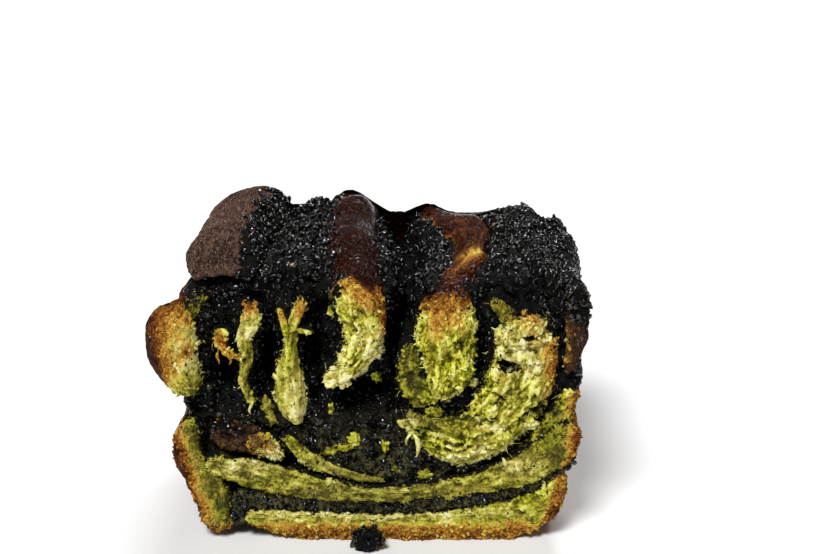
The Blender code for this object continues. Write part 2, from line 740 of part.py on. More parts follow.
def main():
    for obj in list(bpy.data.objects):
        bpy.data.objects.remove(obj)

    finishes = {
        "green_crumb": material("green_crumb", CRUMB, 0.85),
        "golden_crust": material("golden_crust", GOLD_CRUST, 0.7),
        "glazed_crust": material("glazed_crust", DARK_CRUST, 0.3),
    }
    sesame = material("sesame_filling", SESAME, 0.45)

    for strand in STRANDS:
        add_strand(strand, finishes)
    add_object("dough_heel", heel_mesh(), finishes["golden_crust"])
    add_object("filling_clot", clot_mesh(), sesame)

    cutters = helper_collection("dough_cutters")
    for strand in STRANDS:
        for solid in (strand, *strand.branches):
            add_helper(strand_mesh(solid, GAP), cutters)

    seeds = helper_collection("seeds")
    add_seeds(seeds)
    upper = add_object("filling_upper", upper_filling_mesh(), sesame)
    apply_boolean(upper, "UNION", seeds)
    remove_helpers(seeds)
    apply_boolean(upper, "DIFFERENCE", cutters)

    lower = add_object("filling_lower", strand_mesh(LOWER_SHEET), sesame)
    apply_boolean(lower, "DIFFERENCE", cutters)
    remove_helpers(cutters)


main()
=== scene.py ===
"""Dresses the torn half babka: torn crumb, browned crust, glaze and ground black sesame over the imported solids.

Each strand of dough is drawn again from the same map of the torn face, with a finer surface and with masks for
browning, glaze and filling, which its material reads. Loose grains, seeds, flakes and shreds are scattered on top.
Lengths in the tables are millimetres.
"""

import math
from dataclasses import dataclass

import bmesh
import bpy
import numpy as np
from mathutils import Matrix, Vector, noise
from mathutils.bvhtree import BVHTree


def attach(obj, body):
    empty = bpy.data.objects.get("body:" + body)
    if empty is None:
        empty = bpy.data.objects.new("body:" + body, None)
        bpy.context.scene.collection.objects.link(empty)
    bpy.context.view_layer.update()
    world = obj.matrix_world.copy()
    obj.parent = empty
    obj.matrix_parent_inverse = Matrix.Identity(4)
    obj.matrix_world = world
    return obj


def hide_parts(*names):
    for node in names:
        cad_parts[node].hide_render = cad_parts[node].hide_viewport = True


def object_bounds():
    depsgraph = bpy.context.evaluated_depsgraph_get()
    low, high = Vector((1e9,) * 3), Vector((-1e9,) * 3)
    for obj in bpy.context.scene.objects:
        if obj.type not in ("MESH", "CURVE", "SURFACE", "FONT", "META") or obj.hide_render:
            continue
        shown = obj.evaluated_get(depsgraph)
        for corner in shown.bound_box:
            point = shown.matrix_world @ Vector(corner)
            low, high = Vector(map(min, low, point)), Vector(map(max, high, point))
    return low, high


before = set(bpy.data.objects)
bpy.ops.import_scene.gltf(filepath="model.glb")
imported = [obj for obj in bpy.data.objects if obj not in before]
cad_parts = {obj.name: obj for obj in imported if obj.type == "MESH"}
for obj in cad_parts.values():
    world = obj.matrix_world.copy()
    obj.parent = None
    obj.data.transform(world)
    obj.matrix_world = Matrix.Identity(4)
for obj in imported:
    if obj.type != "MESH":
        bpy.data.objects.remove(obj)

CAD_LOW, CAD_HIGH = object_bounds()
MM = 0.001

# Driving sizes of the loaf, as the solids have them.
LOAF_DEPTH = 100
HEEL_THICKNESS = 19
HEEL_ROUND = 13
GAP = 0.32
DOME_RISE = 6.5
DOME_RUN = 22
CENTRE_X = 4
REST_BAND = 0.9
ORIGIN_DEPTH = 46
STRAND_END = LOAF_DEPTH - HEEL_THICKNESS - 2 * GAP

# How finely the strands are drawn: the step on the torn face, then rings close behind it over a short run, then
# half as fine rings on to the heel. Then the rows, columns and rings of the upper filling and of the heel.
FACE_STEP = 0.36
NEAR_RUN, NEAR_RINGS, FAR_RINGS = 9, 13, 30
FILLING_ROWS, FILLING_COLUMNS, FILLING_RINGS = 150, 230, 84
HEEL_ROWS, HEEL_COLUMNS, HEEL_RINGS = 90, 150, 16
# How far inside the solids' box each piece is kept and how far the floor reaches, in metres.
BOX_MARGIN = 0.00005
FLOOR_REACH = 3
# How far the tests of sight reach, and half the length of a whole seed.
SIGHT = 80
SEED_HALF = 1.35
# How many places are tried for each kind of loose piece, and how many of the grains' are used at most. Grains and
# seeds have a number for the filling and one for the dough.
GRAIN_TRIES, GRAIN_MOST, SEED_TRIES = (14000, 4200), (8200, 2400), (1900, 1100)
FLAKE_TRIES, TOASTED_TRIES, SPECK_TRIES, SHRED_TRIES = 4600, 4200, 3600, 220


@dataclass
class Strand:
    """One strand of dough, with the sizes of its solid. axis holds (x, z, half width) along its centre line.

    front is the depth of its torn face, bulge and edge_round how far its edge lies behind that, and crag the height
    of its relief. Behind the tear it settles over settle_run, by settle: a shift along x and z, then a scale of
    each. regain is the share of the narrowing that it loses again, and end the depth where it stops, if not at the
    heel.

    torn is how ragged its crumb is, creased how deep the lines of its crust are, baked the least browning of its
    torn face, rim its share of the loaf's browned rim, soiled the black that sticks to it, and tone how pale (or
    dull, below 0) its crumb is. crown is the (height, slope along x) of the line where its crust starts. brown,
    pale and dull are soft spots of the torn face and seeded of the sides, each (x, z, radius across, radius up,
    amount). worn are soft spots of the glaze behind the face, with the depth for z. slits are its tears, each
    (x, z, x, z, half width). outside is the (browning, glaze, filling) where its sides are the loaf's outside.
    """

    name: str
    axis: tuple
    front: float = 0
    bulge: float = 0
    crag: float = 1
    edge_round: float = 2
    settle: tuple = (0, 0, 1, 1)
    settle_run: float = 22
    regain: float = 0
    end: float = 0
    branches: tuple = ()
    torn: float = 1
    baked: float = 0
    rim: float = 1
    crown: tuple = ()
    tone: float = 0
    brown: tuple = ()
    pale: tuple = ()
    dull: tuple = ()
    seeded: tuple = ()
    slits: tuple = ()
    worn: tuple = ()
    soiled: float = 0
    creased: float = 0.4
    outside: tuple = (0.6, 0, 0.2)


SCRAP = Strand(
    "scrap", ((-37.4, 58, 1.1), (-40.4, 58.8, 0.9), (-43, 60.6, 1.2), (-44.5, 63.6, 2.3), (-43.4, 66.2, 2)),
    front=4.6, crag=0.4, edge_round=0.6, end=10, torn=2.2, brown=((-43, 62, 5, 6, 0.4),), soiled=0.1, creased=1,
    outside=(0.5, 0, 0.2),
)
PRONG_LEFT = Strand(
    "prong_left", ((-24.2, 65, 1.3), (-26.4, 72.6, 0.9)),
    front=4.6, crag=0.2, edge_round=0.4, end=12, torn=0.4, brown=((-25.7, 71, 2, 3, 0.4),), outside=(0.35, 0, 0.2),
)
PRONG_SIDE = Strand(
    "prong_side", ((-22.4, 66.6, 1.2), (-17.2, 65.6, 0.7)),
    front=4.2, crag=0.2, edge_round=0.4, end=12, torn=0.4, pale=((-18, 65.6, 3, 2, 0.5),), outside=(0.3, 0, 0.2),
)
OUTER_WALL = Strand(
    "outer_wall", ((-53.8, 38.2, 2.6), (-55.4, 33, 3.9), (-55.2, 27, 4.5), (-52, 21.2, 5.4), (-49, 15.6, 5.6),
    (-47.8, 9.6, 5.2), (-46.8, 4.4, 3.9)),
    front=0.4, bulge=1.2, crag=1.6, edge_round=1.6, torn=0.5, tone=-1, soiled=0.06, brown=((-60, 31, 4.6, 9, 0.74),
    (-57, 19, 3.8, 8, 0.7), (-53, 7, 4.2, 9, 0.7)), dull=((-50, 14, 8, 16, 1.2),), outside=(0.72, 0, 0.15),
)
DULL_LAYER = Strand(
    "dull_layer", ((51.4, 31.8, 3.3), (57, 40.7, 3.2), (60.9, 47.2, 2.7)),
    front=3.4, crag=1.2, edge_round=1.2, dull=((54, 37, 8, 9, 0.8),), soiled=0.12, brown=((63, 44, 4, 8, 0.5),),
    outside=(0.6, 0, 0.35),
)
OLIVE_FLAP = Strand(
    "olive_flap", ((11.9, 61.8, 2.2), (12.1, 56.6, 4), (12.9, 51.2, 4.2), (15.8, 46.8, 3.2), (19.4, 45.4, 2.3)),
    front=4, bulge=0.6, crag=2, edge_round=1, end=25, dull=((12, 53, 7, 13, 1.1),), soiled=0.12,
)
OLIVE_CREST = Strand(
    "olive_crest", ((36.6, 74.4, 2.1), (39, 72, 2.8), (43.4, 68, 3.6)),
    front=5, crag=1.6, edge_round=1.4, settle=(-0.6, -2, 0.92, 0.94), end=28, dull=((38, 73, 7, 6, 1.4),),
    brown=((38, 73, 7, 6, 0.12),), soiled=0.44, outside=(0.5, 0, 0.6),
)
TORN_TIP = Strand(
    "torn_tip", ((-35.4, 33.2, 2.6), (-30.6, 31, 2.8), (-26.8, 28.4, 1.5)),
    front=0.4, crag=2.4, edge_round=1, end=14, brown=((-34, 32.4, 8, 8, 0.46),), pale=((-28.6, 29.2, 4, 4, 0.9),),
    torn=1.3, outside=(0.5, 0, 0.3),
)
TORN_BIT = Strand(
    "torn_bit", ((-52.4, 70.6, 2.4), (-50.8, 74.4, 2.4), (-47.6, 76.4, 1.4)),
    front=4.6, crag=1.6, edge_round=1, end=16, tone=-0.8, dull=((-50, 75, 6, 6, 1),), soiled=0.45, rim=0,
    outside=(0.5, 0, 0.5),
)

STRANDS = (
    Strand(
        "dough_bottom_layer", ((-37.6, 7.2, 2.1), (-30.9, 6.3, 3.6), (-21.7, 5, 4.2), (-9.4, 4.4, 4.5),
        (2.9, 3.9, 4.5), (15.2, 4, 4.8), (30.6, 4.9, 5.7), (42.9, 6.8, 6), (51.4, 10.4, 5.6), (56.4, 16, 3.6),
        (58.2, 20, 1.8)),
        front=0.8, crag=1.4, edge_round=1, torn=0.35, tone=-0.2, pale=((-4, 9, 50, 2.6, 1.2),),
        brown=((59, 14, 4.6, 8, 0.5),), outside=(0.55, 0, 0),
    ),
    Strand(
        "dough_second_layer", ((-49.1, 24.8, 2.8), (-43.1, 23.6, 3.8), (-36.5, 21.8, 4.7), (-27.4, 19.6, 4.6),
        (-18.3, 17.5, 3.9), (-9, 15.8, 2.9), (6.1, 15, 2.4), (18.3, 16.4, 2.7), (30.5, 18.2, 3.4),
        (39.6, 20.6, 4.5), (48.6, 24.6, 5.4), (56.4, 30, 5.5), (60.4, 35.8, 3.9)),
        front=0.6, crag=2, edge_round=1.2, branches=(OUTER_WALL, DULL_LAYER), torn=0.4, tone=-0.55,
        pale=((-38, 25, 11, 3, 1.2), (46, 25, 9, 4, 0.9), (0, 18, 40, 5, 0.5)), dull=((0, 14, 34, 3, 0.8),
        (59, 31, 6, 8, 1)), brown=((63, 32, 3.6, 9, 0.66),), outside=(0.55, 0, 0.3),
    ),
    Strand(
        "dough_thin_leaf", ((-24.8, 33, 1.5), (-21.4, 28.6, 2.1), (-17, 25, 2.2), (-10.4, 21.9, 1.8),
        (-3.4, 19.9, 1.3), (4, 18.7, 0.9)),
        front=3.2, crag=0.8, edge_round=0.7, torn=0.5, tone=-0.5, dull=((-6, 21, 12, 6, 0.5),),
        pale=((-12, 24, 16, 8, 0.45),),
    ),
    Strand(
        "dough_seeded_lump", ((-47, 34.6, 3.4), (-41.8, 33, 4.8), (-36, 31.4, 4.8), (-30.8, 30, 3.2)),
        front=1.4, bulge=2.4, edge_round=2.8, crag=3, settle=(1, 0, 0.9, 0.7), branches=(TORN_TIP,), baked=0.7,
        soiled=0.2, torn=1.6, seeded=((-43, 37, 9, 2.4, 0.9), (-36, 27.6, 8, 1.6, 0.8), (-41, 32, 8, 5, 0.45)),
        creased=1, outside=(0.95, 0.1, 0.6),
    ),
    Strand(
        "dough_left_knob", ((-55, 70.4, 5.6), (-57.9, 66, 9.2), (-58.9, 61.4, 9), (-58.2, 56.7, 8),
        (-55.8, 52, 6.3), (-52.9, 48.6, 3.9)),
        bulge=3.4, crag=1.6, edge_round=4.6, settle=(4.6, -2.6, 0.42, 1.1), settle_run=15, torn=0.3, rim=0,
        tone=0.2, pale=((-54.8, 61, 5.6, 8, 1),), dull=((-52, 50, 5, 3, 0.9),), brown=((-68, 61, 6.6, 15, 0.95),
        (-58, 75.5, 12, 5, 0.55), (-63.6, 51, 4, 6, 0.5), (-57, 65, 10, 12, 0.2), (-54, 60.8, 0.9, 1.8, 0.5)),
        creased=0.15, branches=(TORN_BIT,), outside=(0.74, 0.1, 0),
    ),
    Strand(
        "dough_strand_a", ((-35, 71.8, 3), (-35.3, 68.4, 3.5), (-36.6, 64, 2.9), (-36.8, 59.3, 2.4),
        (-37.3, 55, 2.3), (-38.1, 50.7, 1.6), (-36.7, 47, 1.4), (-35.6, 43.8, 1.2)),
        front=4.4, bulge=1.6, edge_round=1.2, settle=(0, -4, 1.1, 0.9), branches=(SCRAP,),
        brown=((-35, 74.8, 5, 3.8, 0.7),), torn=0.55, tone=0.4, pale=((-36.4, 66, 3, 4, 0.9),),
        dull=((-37, 50, 4, 8, 0.7),), soiled=0.08,
    ),
    Strand(
        "dough_strand_b", ((-19.5, 73.2, 1.2), (-22.3, 67.2, 2.1), (-23.5, 62.6, 1.8), (-23.7, 58.4, 2.4),
        (-24.2, 53.8, 3.8), (-24, 49.4, 4.6), (-23.8, 44.6, 5.2), (-23, 40.3, 4.2), (-21.9, 36.9, 1.8)),
        front=3.6, bulge=2.8, edge_round=2.2, settle=(0, -3, 1, 0.9), branches=(PRONG_LEFT, PRONG_SIDE),
        brown=((-20, 72, 2.4, 3.2, 0.42),), torn=0.35, tone=0.3, pale=((-21.6, 44, 3.6, 9, 1.1),),
    ),
    Strand(
        "dough_lobe_crescent", ((-4.8, 77.4, 6.8), (-2.9, 73.2, 7.4), (-1.1, 68.2, 6.3), (-1.7, 62, 5.5),
        (-4.6, 56.9, 4.4), (-8.8, 52.8, 2.6), (-12.8, 51.8, 1.7)),
        front=0.8, bulge=2.8, crag=2.4, edge_round=3, settle=(-1, 2.6, 1.08, 1.04), crown=(74.4, -0.55), tone=0.2,
        seeded=((-12.5, 80, 6.5, 12, 1.3),), brown=((6.6, 70.5, 3, 8, 1),), pale=((1, 63, 4, 7, 0.7),
        (-8, 53, 5, 3, 1)), outside=(0.97, 1, 0),
    ),
    Strand(
        "dough_lobe_middle", ((22.5, 72, 7.2), (22.5, 68.9, 8.8), (22.7, 63.7, 9.3), (23.7, 57.7, 8.3),
        (23.2, 51.9, 7.2), (21.2, 47, 4.1)),
        bulge=3, crag=2.6, edge_round=4.2, settle=(1, 4, 0.72, 1), regain=1, branches=(OLIVE_FLAP,),
        crown=(69.7, 0), pale=((21, 47, 6, 3, 0.4),), worn=((22.4, 24.5, 5, 7, 1),), outside=(0.83, 1, 0),
    ),
    Strand(
        "dough_lobe_right", ((47.3, 68.4, 6.4), (46.7, 62.9, 9.8), (45.3, 53.9, 11), (42.2, 45, 10.8),
        (36, 36.2, 9.9), (27.8, 31.9, 8.7), (18.7, 34, 5.7), (11.5, 38.4, 2.5)),
        front=0.8, bulge=2.6, crag=3.6, edge_round=3.4, settle=(-0.6, -2, 0.92, 0.94), branches=(OLIVE_CREST,),
        brown=((49.5, 73.5, 6, 5, 0.66), (57, 54, 4.2, 12, 0.66)), slits=((38.8, 56.8, 44.4, 55.8, 1.5),
        (52.2, 43.4, 44.6, 38.4, 1.5), (30.6, 35, 35.4, 33, 1.3), (22, 31.8, 32, 31.4, 0.8),
        (18.8, 44.4, 25.4, 40.4, 1.7), (36.4, 49.6, 41, 45.8, 0.7), (45.6, 66.4, 50, 64.8, 0.7),
        # The pale spot at (30, 27.5) is partly the crumb's paler yellow and partly painted light on the lobe's
        # lower part, which faces down under its overhang.
        (10, 38.6, 17, 34.6, 0.6)), pale=((47, 62, 9, 7, 1.8), (43, 48, 8, 8, 0.4), (38, 37, 6, 3, 0.7),
        (12, 39, 5, 3, 0.6), (30, 27.5, 12, 4.5, 0.8)), dull=((15, 40, 11, 6, 1.5), (27, 39, 6, 3, 0.6),
        (53, 42, 3, 8, 0.3), (41, 50, 3, 4, 0.4)), outside=(0.6, 0.2, 0.4),
    ),
    Strand(
        "dough_right_wall", ((61, 77.4, 2.7), (62.5, 73, 3.1), (62.2, 66.9, 3.1), (61.2, 60.4, 2.7),
        (60.2, 54.2, 2.1)),
        front=3.4, crag=0.8, edge_round=1.6, settle=(-0.4, -2.4, 1.1, 1.06), baked=0.84, torn=0.2, creased=1.2,
        pale=((58.4, 62, 2.4, 8, 0.8),), seeded=((62, 80, 9, 11, 1.6),), outside=(0.88, 0.35, 0.1),
    ),
    Strand(
        "dough_left_shoulder", ((-51.6, 80.4, 2.8), (-47.8, 82.8, 4), (-41.4, 83.6, 4.8), (-33.6, 81, 2.7)),
        front=7, bulge=1.5, edge_round=5, crag=0.8, settle=(-0.6, 0, 1.08, 1.1), baked=1, torn=0.1,
        seeded=((-31, 84, 8, 10, 1.3), (-41, 79, 8, 1.4, 0.9)), outside=(1, 0.1, 0),
    ),
)

LOWER_SHEET = Strand(
    "filling_lower", ((-40.4, 5.2, 2.2), (-40.3, 11.2, 3), (-34.5, 12.6, 3.8), (-21, 12, 4), (-6, 10.7, 3.6),
    (9, 10.3, 3.6), (24, 11.9, 4), (39, 15.4, 4.2), (49, 19.2, 4.2), (56.5, 24.2, 3.4), (60.6, 28.6, 2.4)),
    front=2.8, crag=0.8, edge_round=0.8,
)

# Wells in the torn filling and pits of the dough, as (x, z, radius across, radius up, extra depth).
FILLING_WELLS = (
    (-43.5, 54, 3.6, 8.5, 15), (-30.5, 55, 3.6, 11, 15), (-16, 60, 4.4, 11, 12), (-9, 64, 3.6, 8, 6),
    (9.6, 60, 3.2, 19, 15), (-4, 46, 12, 4.6, 14), (-27.5, 24.5, 5, 2.8, 11), (33.6, 52, 1.8, 12, 6),
)
DOUGH_PITS = (
    (41.2, 57, 3.4, 1.6, 5), (31.5, 38, 6.5, 1.5, 4.5), (50.5, 43, 4, 1.8, 3.5), (23, 40.6, 5, 1.6, 3),
    (15.8, 53.4, 1.8, 5, 1.2), (-57.5, 29.5, 1.6, 2.2, 2.2),
)
# The seeded top: its height, its ridges as (x, half width, height), and the groove in it.
FILLING_FRONT = 7.5
FILLING_TOP = 77
TOP_RIDGES = ((-23, 9, 4.6), (9.8, 3.6, -9), (23, 6, -2.4), (36, 5, 1.6), (52, 8, 3.4))
GROOVE_X = 9.8
# The heel's top as (x, height), and its creases as (x, depth).
HEEL_TOP = (
    (-60, 71), (-56, 81), (-49, 87), (-42, 88), (-30, 82), (-16, 79.5), (-4, 86), (9.8, 77.5), (23, 80.5), (42, 81),
    (53, 79.5), (60, 73.5), (64.5, 64),
)
HEEL_CREASES = ((-24, 9), (24, 8))
# How the ridges drift behind the tear, as (x, reach, ((depth, shift), ...)).
RIDGE_DRIFTS = (
    (24, 13, ((0, 0), (6, 0.6), (24, 7.8), (42, 11), (62, 6), (84, -1))),
    (-4, 11, ((0, 0), (20, -2.6), (38, -6), (60, -6.4), (84, -3))),
    (-42, 13, ((0, 0), (26, -1.6), (46, -0.6), (64, 3.4), (88, 2))),
)
CLOT_PLACE = (-0.6, -4.3)
CLOT_SIZE = (4.4, 3.8, 3.9)
# Scraps of crumb that lie on the torn face: (x, z, half width, half height, pale, dull).
SCRAPS = (
    (1.5, 50.6, 1.6, 2.2, 0, 0), (2.2, 47.6, 1.1, 1.6, 0.1, 0.2), (-5.4, 30.6, 2.4, 2.4, 0.1, 0),
    (-8.4, 28.6, 2.2, 1.5, 0, 0.3), (-13, 27.4, 2.6, 1.2, 0, 0.7), (4.6, 28.6, 1.1, 2.4, 0, 0.4),
    (-11.6, 70, 1, 1.6, 0.2, 0), (-12, 40.6, 0.8, 1.8, 0, 0.1), (48, 37.2, 3, 1.2, 1, 0),
    (22.8, 43.8, 1.8, 1.2, 1, 0), (31.4, 50, 1.6, 1.2, 1, 0), (-7.4, 51.6, 2, 1.6, 1, 0),
    (36, 36.6, 2.6, 1.8, 0.6, 0), (40.6, 34.4, 2.2, 1.4, 0.4, 0), (14.8, 43.4, 2.4, 1.6, 0, 1),
    (19.6, 41.4, 2.6, 1.4, 0, 0.8), (10.8, 36.6, 2.2, 1.4, 0.7, 0.2), (-31.6, 41, 1.9, 3, 0.3, 0.9),
    (-30.6, 37.2, 1.8, 2, 0.2, 0.9), (17, 20.4, 2.6, 1.4, 0.2, 0.6), (8.6, 21.6, 2.4, 1.2, 0.3, 0.7),
)
# Long shreds that hang from the crumb: (x, z, length, lean along x, half width, browning).
HANGING = (
    (13.4, 35.8, 7.6, 0.18, 1, 0), (12, 36.4, 4.6, -0.1, 0.6, 0), (-44.4, 60.6, 4.2, -0.3, 0.55, 0.42),
    (-42.4, 59.4, 3.2, 0.28, 0.5, 0.42), (-35.9, 45, 4.4, 0.1, 0.6, 0), (-41.2, 60.4, 3.4, 0.7, 0.5, 0.45),
)

# Tones along a mask or a lightness, as (position, red, green, blue) in display levels.
# The crumb's tones are read along a painted lightness: dark ends are painted shade, bright ends painted highlight.
CRUMB_TONES = (
    (0.1, 36, 34, 8), (0.3, 106, 102, 14), (0.5, 178, 172, 34), (0.7, 224, 216, 80), (0.92, 250, 246, 158),
)
LIME_TONES = ((0.15, 62, 62, 4), (0.5, 170, 178, 14), (0.9, 236, 238, 84))
BLEACHED_TONES = ((0.2, 120, 106, 44), (0.6, 208, 192, 110), (1, 252, 246, 206))
CRUST_TONES = (
    (0.16, 218, 196, 84), (0.34, 204, 152, 58), (0.5, 154, 102, 34), (0.68, 100, 54, 16), (0.84, 54, 18, 5),
    (1, 38, 13, 5),
)
MATTE_TONES = (
    (0.16, 196, 168, 96), (0.34, 158, 124, 60), (0.52, 108, 74, 40), (0.68, 56, 36, 22), (0.86, 48, 33, 25),
    (1, 136, 104, 88),
)
BLACK_TONES = ((0.35, 5, 5, 5), (0.7, 28, 27, 24))
SESAME_TONES = ((0, 3, 3, 3), (0.5, 7, 7, 6), (0.9, 16, 15, 13), (0.985, 54, 50, 38), (1, 132, 104, 70))


# Fields over whole arrays of points.


def ramp(low, high, value):
    """0 below low, 1 above high, and a smooth ramp between them."""
    share = np.clip((value - low) / (high - low), 0, 1)
    return share * share * (3 - 2 * share)


def along(table, value):
    """Reads a table of (place, amount) at each value, with smooth ramps between its places."""
    value = np.asarray(value, float)
    result = np.full(value.shape, float(table[0][1]))
    for (start, low), (end, high) in zip(table, table[1:]):
        result = np.where(value > start, low + (high - low) * ramp(start, end, value), result)
    return result


def field(points, size, offset=0, kind=noise.noise, *options):
    """A noise of mathutils at each of the points, with features about size millimetres wide."""
    scaled = np.asarray(points, float) / size + offset
    return np.array([kind(Vector(place), *options) for place in scaled.tolist()])


def fractal(points, size, octaves=3, offset=0):
    """Layered smooth noise, about -1 to 1."""
    return field(points, size, offset, noise.fractal, 1, 2.1, octaves)


def cells(points, size, offset=0):
    """Distance to the nearest of a cloud of seed points, 0 at a seed and about 1 far from all."""
    return field(points, size, offset, lambda place: noise.voronoi(place)[0][0])


def ground_seeds(points):
    """1 on a ground seed, and 0 between the seeds."""
    return ramp(0.75, 0.1, cells(points, 1.5, 4.1))


def stacked(*columns):
    """Arrays of one shape, side by side as points."""
    shape = np.broadcast_shapes(*(np.shape(column) for column in columns))
    return np.stack([np.broadcast_to(column, shape).ravel() for column in columns], axis=1).astype(float)


def bell(value, centre, reach):
    """1 at the centre, fading out about reach away from it."""
    return np.exp(-(((value - centre) / reach) ** 2))


def unit(vectors):
    """The vectors at unit length."""
    return vectors / np.linalg.norm(vectors, axis=1)[:, None]


def spots(table, x, z):
    """The sum of soft spots (x, z, radius across, radius up, amount)."""
    total = np.zeros(np.shape(x))
    for spot_x, spot_z, wide, tall, amount in table:
        total += amount * np.exp(-(((x - spot_x) / wide) ** 2) - ((z - spot_z) / tall) ** 2)
    return total


def slit_lines(table, x, z):
    """1 along each slit (x, z, x, z, half width), narrower and ragged toward its ends, and 0 away from them."""
    total = np.zeros(np.shape(x))
    if table:
        place = stacked(x, z, 3.3)
        x, z = x + 0.7 * fractal(place, 2.6, 3, 1.9), z + 0.7 * fractal(place, 2.6, 3, 6.1)
    for from_x, from_z, to_x, to_z, wide in table:
        run_x, run_z = to_x - from_x, to_z - from_z
        share = np.clip(((x - from_x) * run_x + (z - from_z) * run_z) / (run_x**2 + run_z**2), 0, 1)
        away = np.hypot(x - from_x - share * run_x, z - from_z - share * run_z)
        total = np.maximum(total, ramp(1, 0.5, away / (wide * (1 - 0.6 * (2 * share - 1) ** 2))))
    return total


def side_left(height):
    """X of the loaf's left side, leaning out as its tin does."""
    return -45.5 - 5 * ramp(-3, 7, height) - 9.5 * ramp(0, 36, height)


def side_right(height):
    """X of the loaf's right side."""
    return 49 + 5.5 * ramp(-3, 7, height) + 10 * ramp(0, 46, height)


def warp(x, depth, z):
    """Carries places of the map, at those depths, to their points in the loaf, in millimetres."""
    x, depth, z = np.broadcast_arrays(np.asarray(x, float), depth, z)
    high = ramp(42, 82, z)
    shift = np.zeros(x.shape)
    for centre, reach, drift in RIDGE_DRIFTS:
        shift += along(drift, depth) * bell(x, centre, reach)
    dome = DOME_RISE * ramp(-4, DOME_RUN, depth)
    dome *= 1 - 0.55 * ramp(66, LOAF_DEPTH, depth)
    crown = 1 - 0.35 * ((x - CENTRE_X) / 60) ** 2
    place = stacked(x / 24, depth / 19, z / 22)
    settled = ramp(4, 26, depth)
    lump_x = 3.2 * settled * field(place, 1).reshape(x.shape)
    lump_z = 2 * settled * field(place, 1, (7.3, 1.9, 4.1)).reshape(x.shape)
    lump_z += 4 * settled * high * field(place * 1.3, 1, (2.2, 5.6, 0.7)).reshape(x.shape)
    heel = 1 - 0.10 * ramp(60, LOAF_DEPTH, depth) ** 2
    warped_x = CENTRE_X + (x + shift * high + lump_x - CENTRE_X) * heel
    warped_z = z + dome * high * crown + lump_z * ramp(0, 14, z)
    warped_z = warped_z * (1 - (1 - heel) * 0.6)
    warped_z = np.where(warped_z < REST_BAND, 0, warped_z)
    return np.stack([warped_x, depth - ORIGIN_DEPTH, warped_z], axis=-1)


def crags(x, z, amount):
    """The torn crumb's large relief at places on the face, as the solids have it."""
    place = stacked(x / 6.5, 3.7, z / 6.5)
    return amount * (field(place, 1) + 0.7 * field(place * 2.3, 1)).reshape(np.shape(x))


# Surfaces: a front grid carried back through rings to a flat end.


def catmull_rom(points, count):
    """count places along a smooth curve through points."""
    points = np.array(points, float)
    padded = np.vstack([points[:1], points, points[-1:]])
    position = np.linspace(0, len(points) - 1, count)
    index = np.minimum(position.astype(int), len(points) - 2)
    t = (position - index)[:, None]
    a, b, c, d = (padded[index + step] for step in range(4))
    return b + 0.5 * t * (c - a + t * (2 * a - 5 * b + 4 * c - d + t * (3 * b - a - 3 * c + d)))


def section(strand, step):
    """The strand's section as grids of x, z, nearness to the edge, run along it and reach across it."""
    fine = catmull_rom(strand.axis, 241)
    pace = np.hypot(*np.diff(fine[:, :2], axis=0).T)
    lengths = np.concatenate([[0], np.cumsum(pace)])
    total = lengths[-1]
    caps = [0.45 * strand.axis[end][2] for end in (0, -1)]
    widest = max(half for _, _, half in strand.axis)
    rows = max(6, round((total + sum(caps)) / step))
    columns = max(6, round(2.6 * widest / step))
    turn = np.linspace(0, 1, rows + 1)
    distance = -caps[0] + (total + sum(caps)) * (turn - 0.05 * np.sin(2 * np.pi * turn))
    inside = np.clip(distance, 0, total)
    x, z, half = (np.interp(inside, lengths, fine[:, axis]) for axis in range(3))
    heading = unit(np.gradient(fine[:, :2], axis=0))
    tx, tz = (np.interp(inside, lengths, heading[:, axis]) for axis in range(2))
    beyond = distance - inside
    cap = np.where(beyond < 0, caps[0], caps[1])
    half = half * np.sqrt(1 - 0.8 * (beyond / cap) ** 2)
    x, z = x + tx * beyond, z + tz * beyond
    from_end = np.minimum(distance + caps[0], total + caps[1] - distance)
    end_nearness = 1 - np.minimum(1, from_end / np.maximum(1.2, half))
    across = np.sin(np.pi * (np.linspace(0, 1, columns + 1) - 0.5))
    edge = np.minimum(1, np.hypot(across[None, :], end_nearness[:, None]))
    reach = half[:, None] * across[None, :]
    run = np.broadcast_to(distance[:, None], reach.shape)
    return x[:, None] - tz[:, None] * reach, z[:, None] + tx[:, None] * reach, edge, run, reach


@dataclass
class Surface:
    """Points in millimetres and faces, and for each point its place in the map, its depth, how near the edge of
    the front it is, whether it is on a side, and its run along and reach across the strand.
    """

    points: np.ndarray
    faces: list
    x: np.ndarray
    z: np.ndarray
    depth: np.ndarray
    edge: np.ndarray
    side: np.ndarray
    run: np.ndarray
    reach: np.ndarray


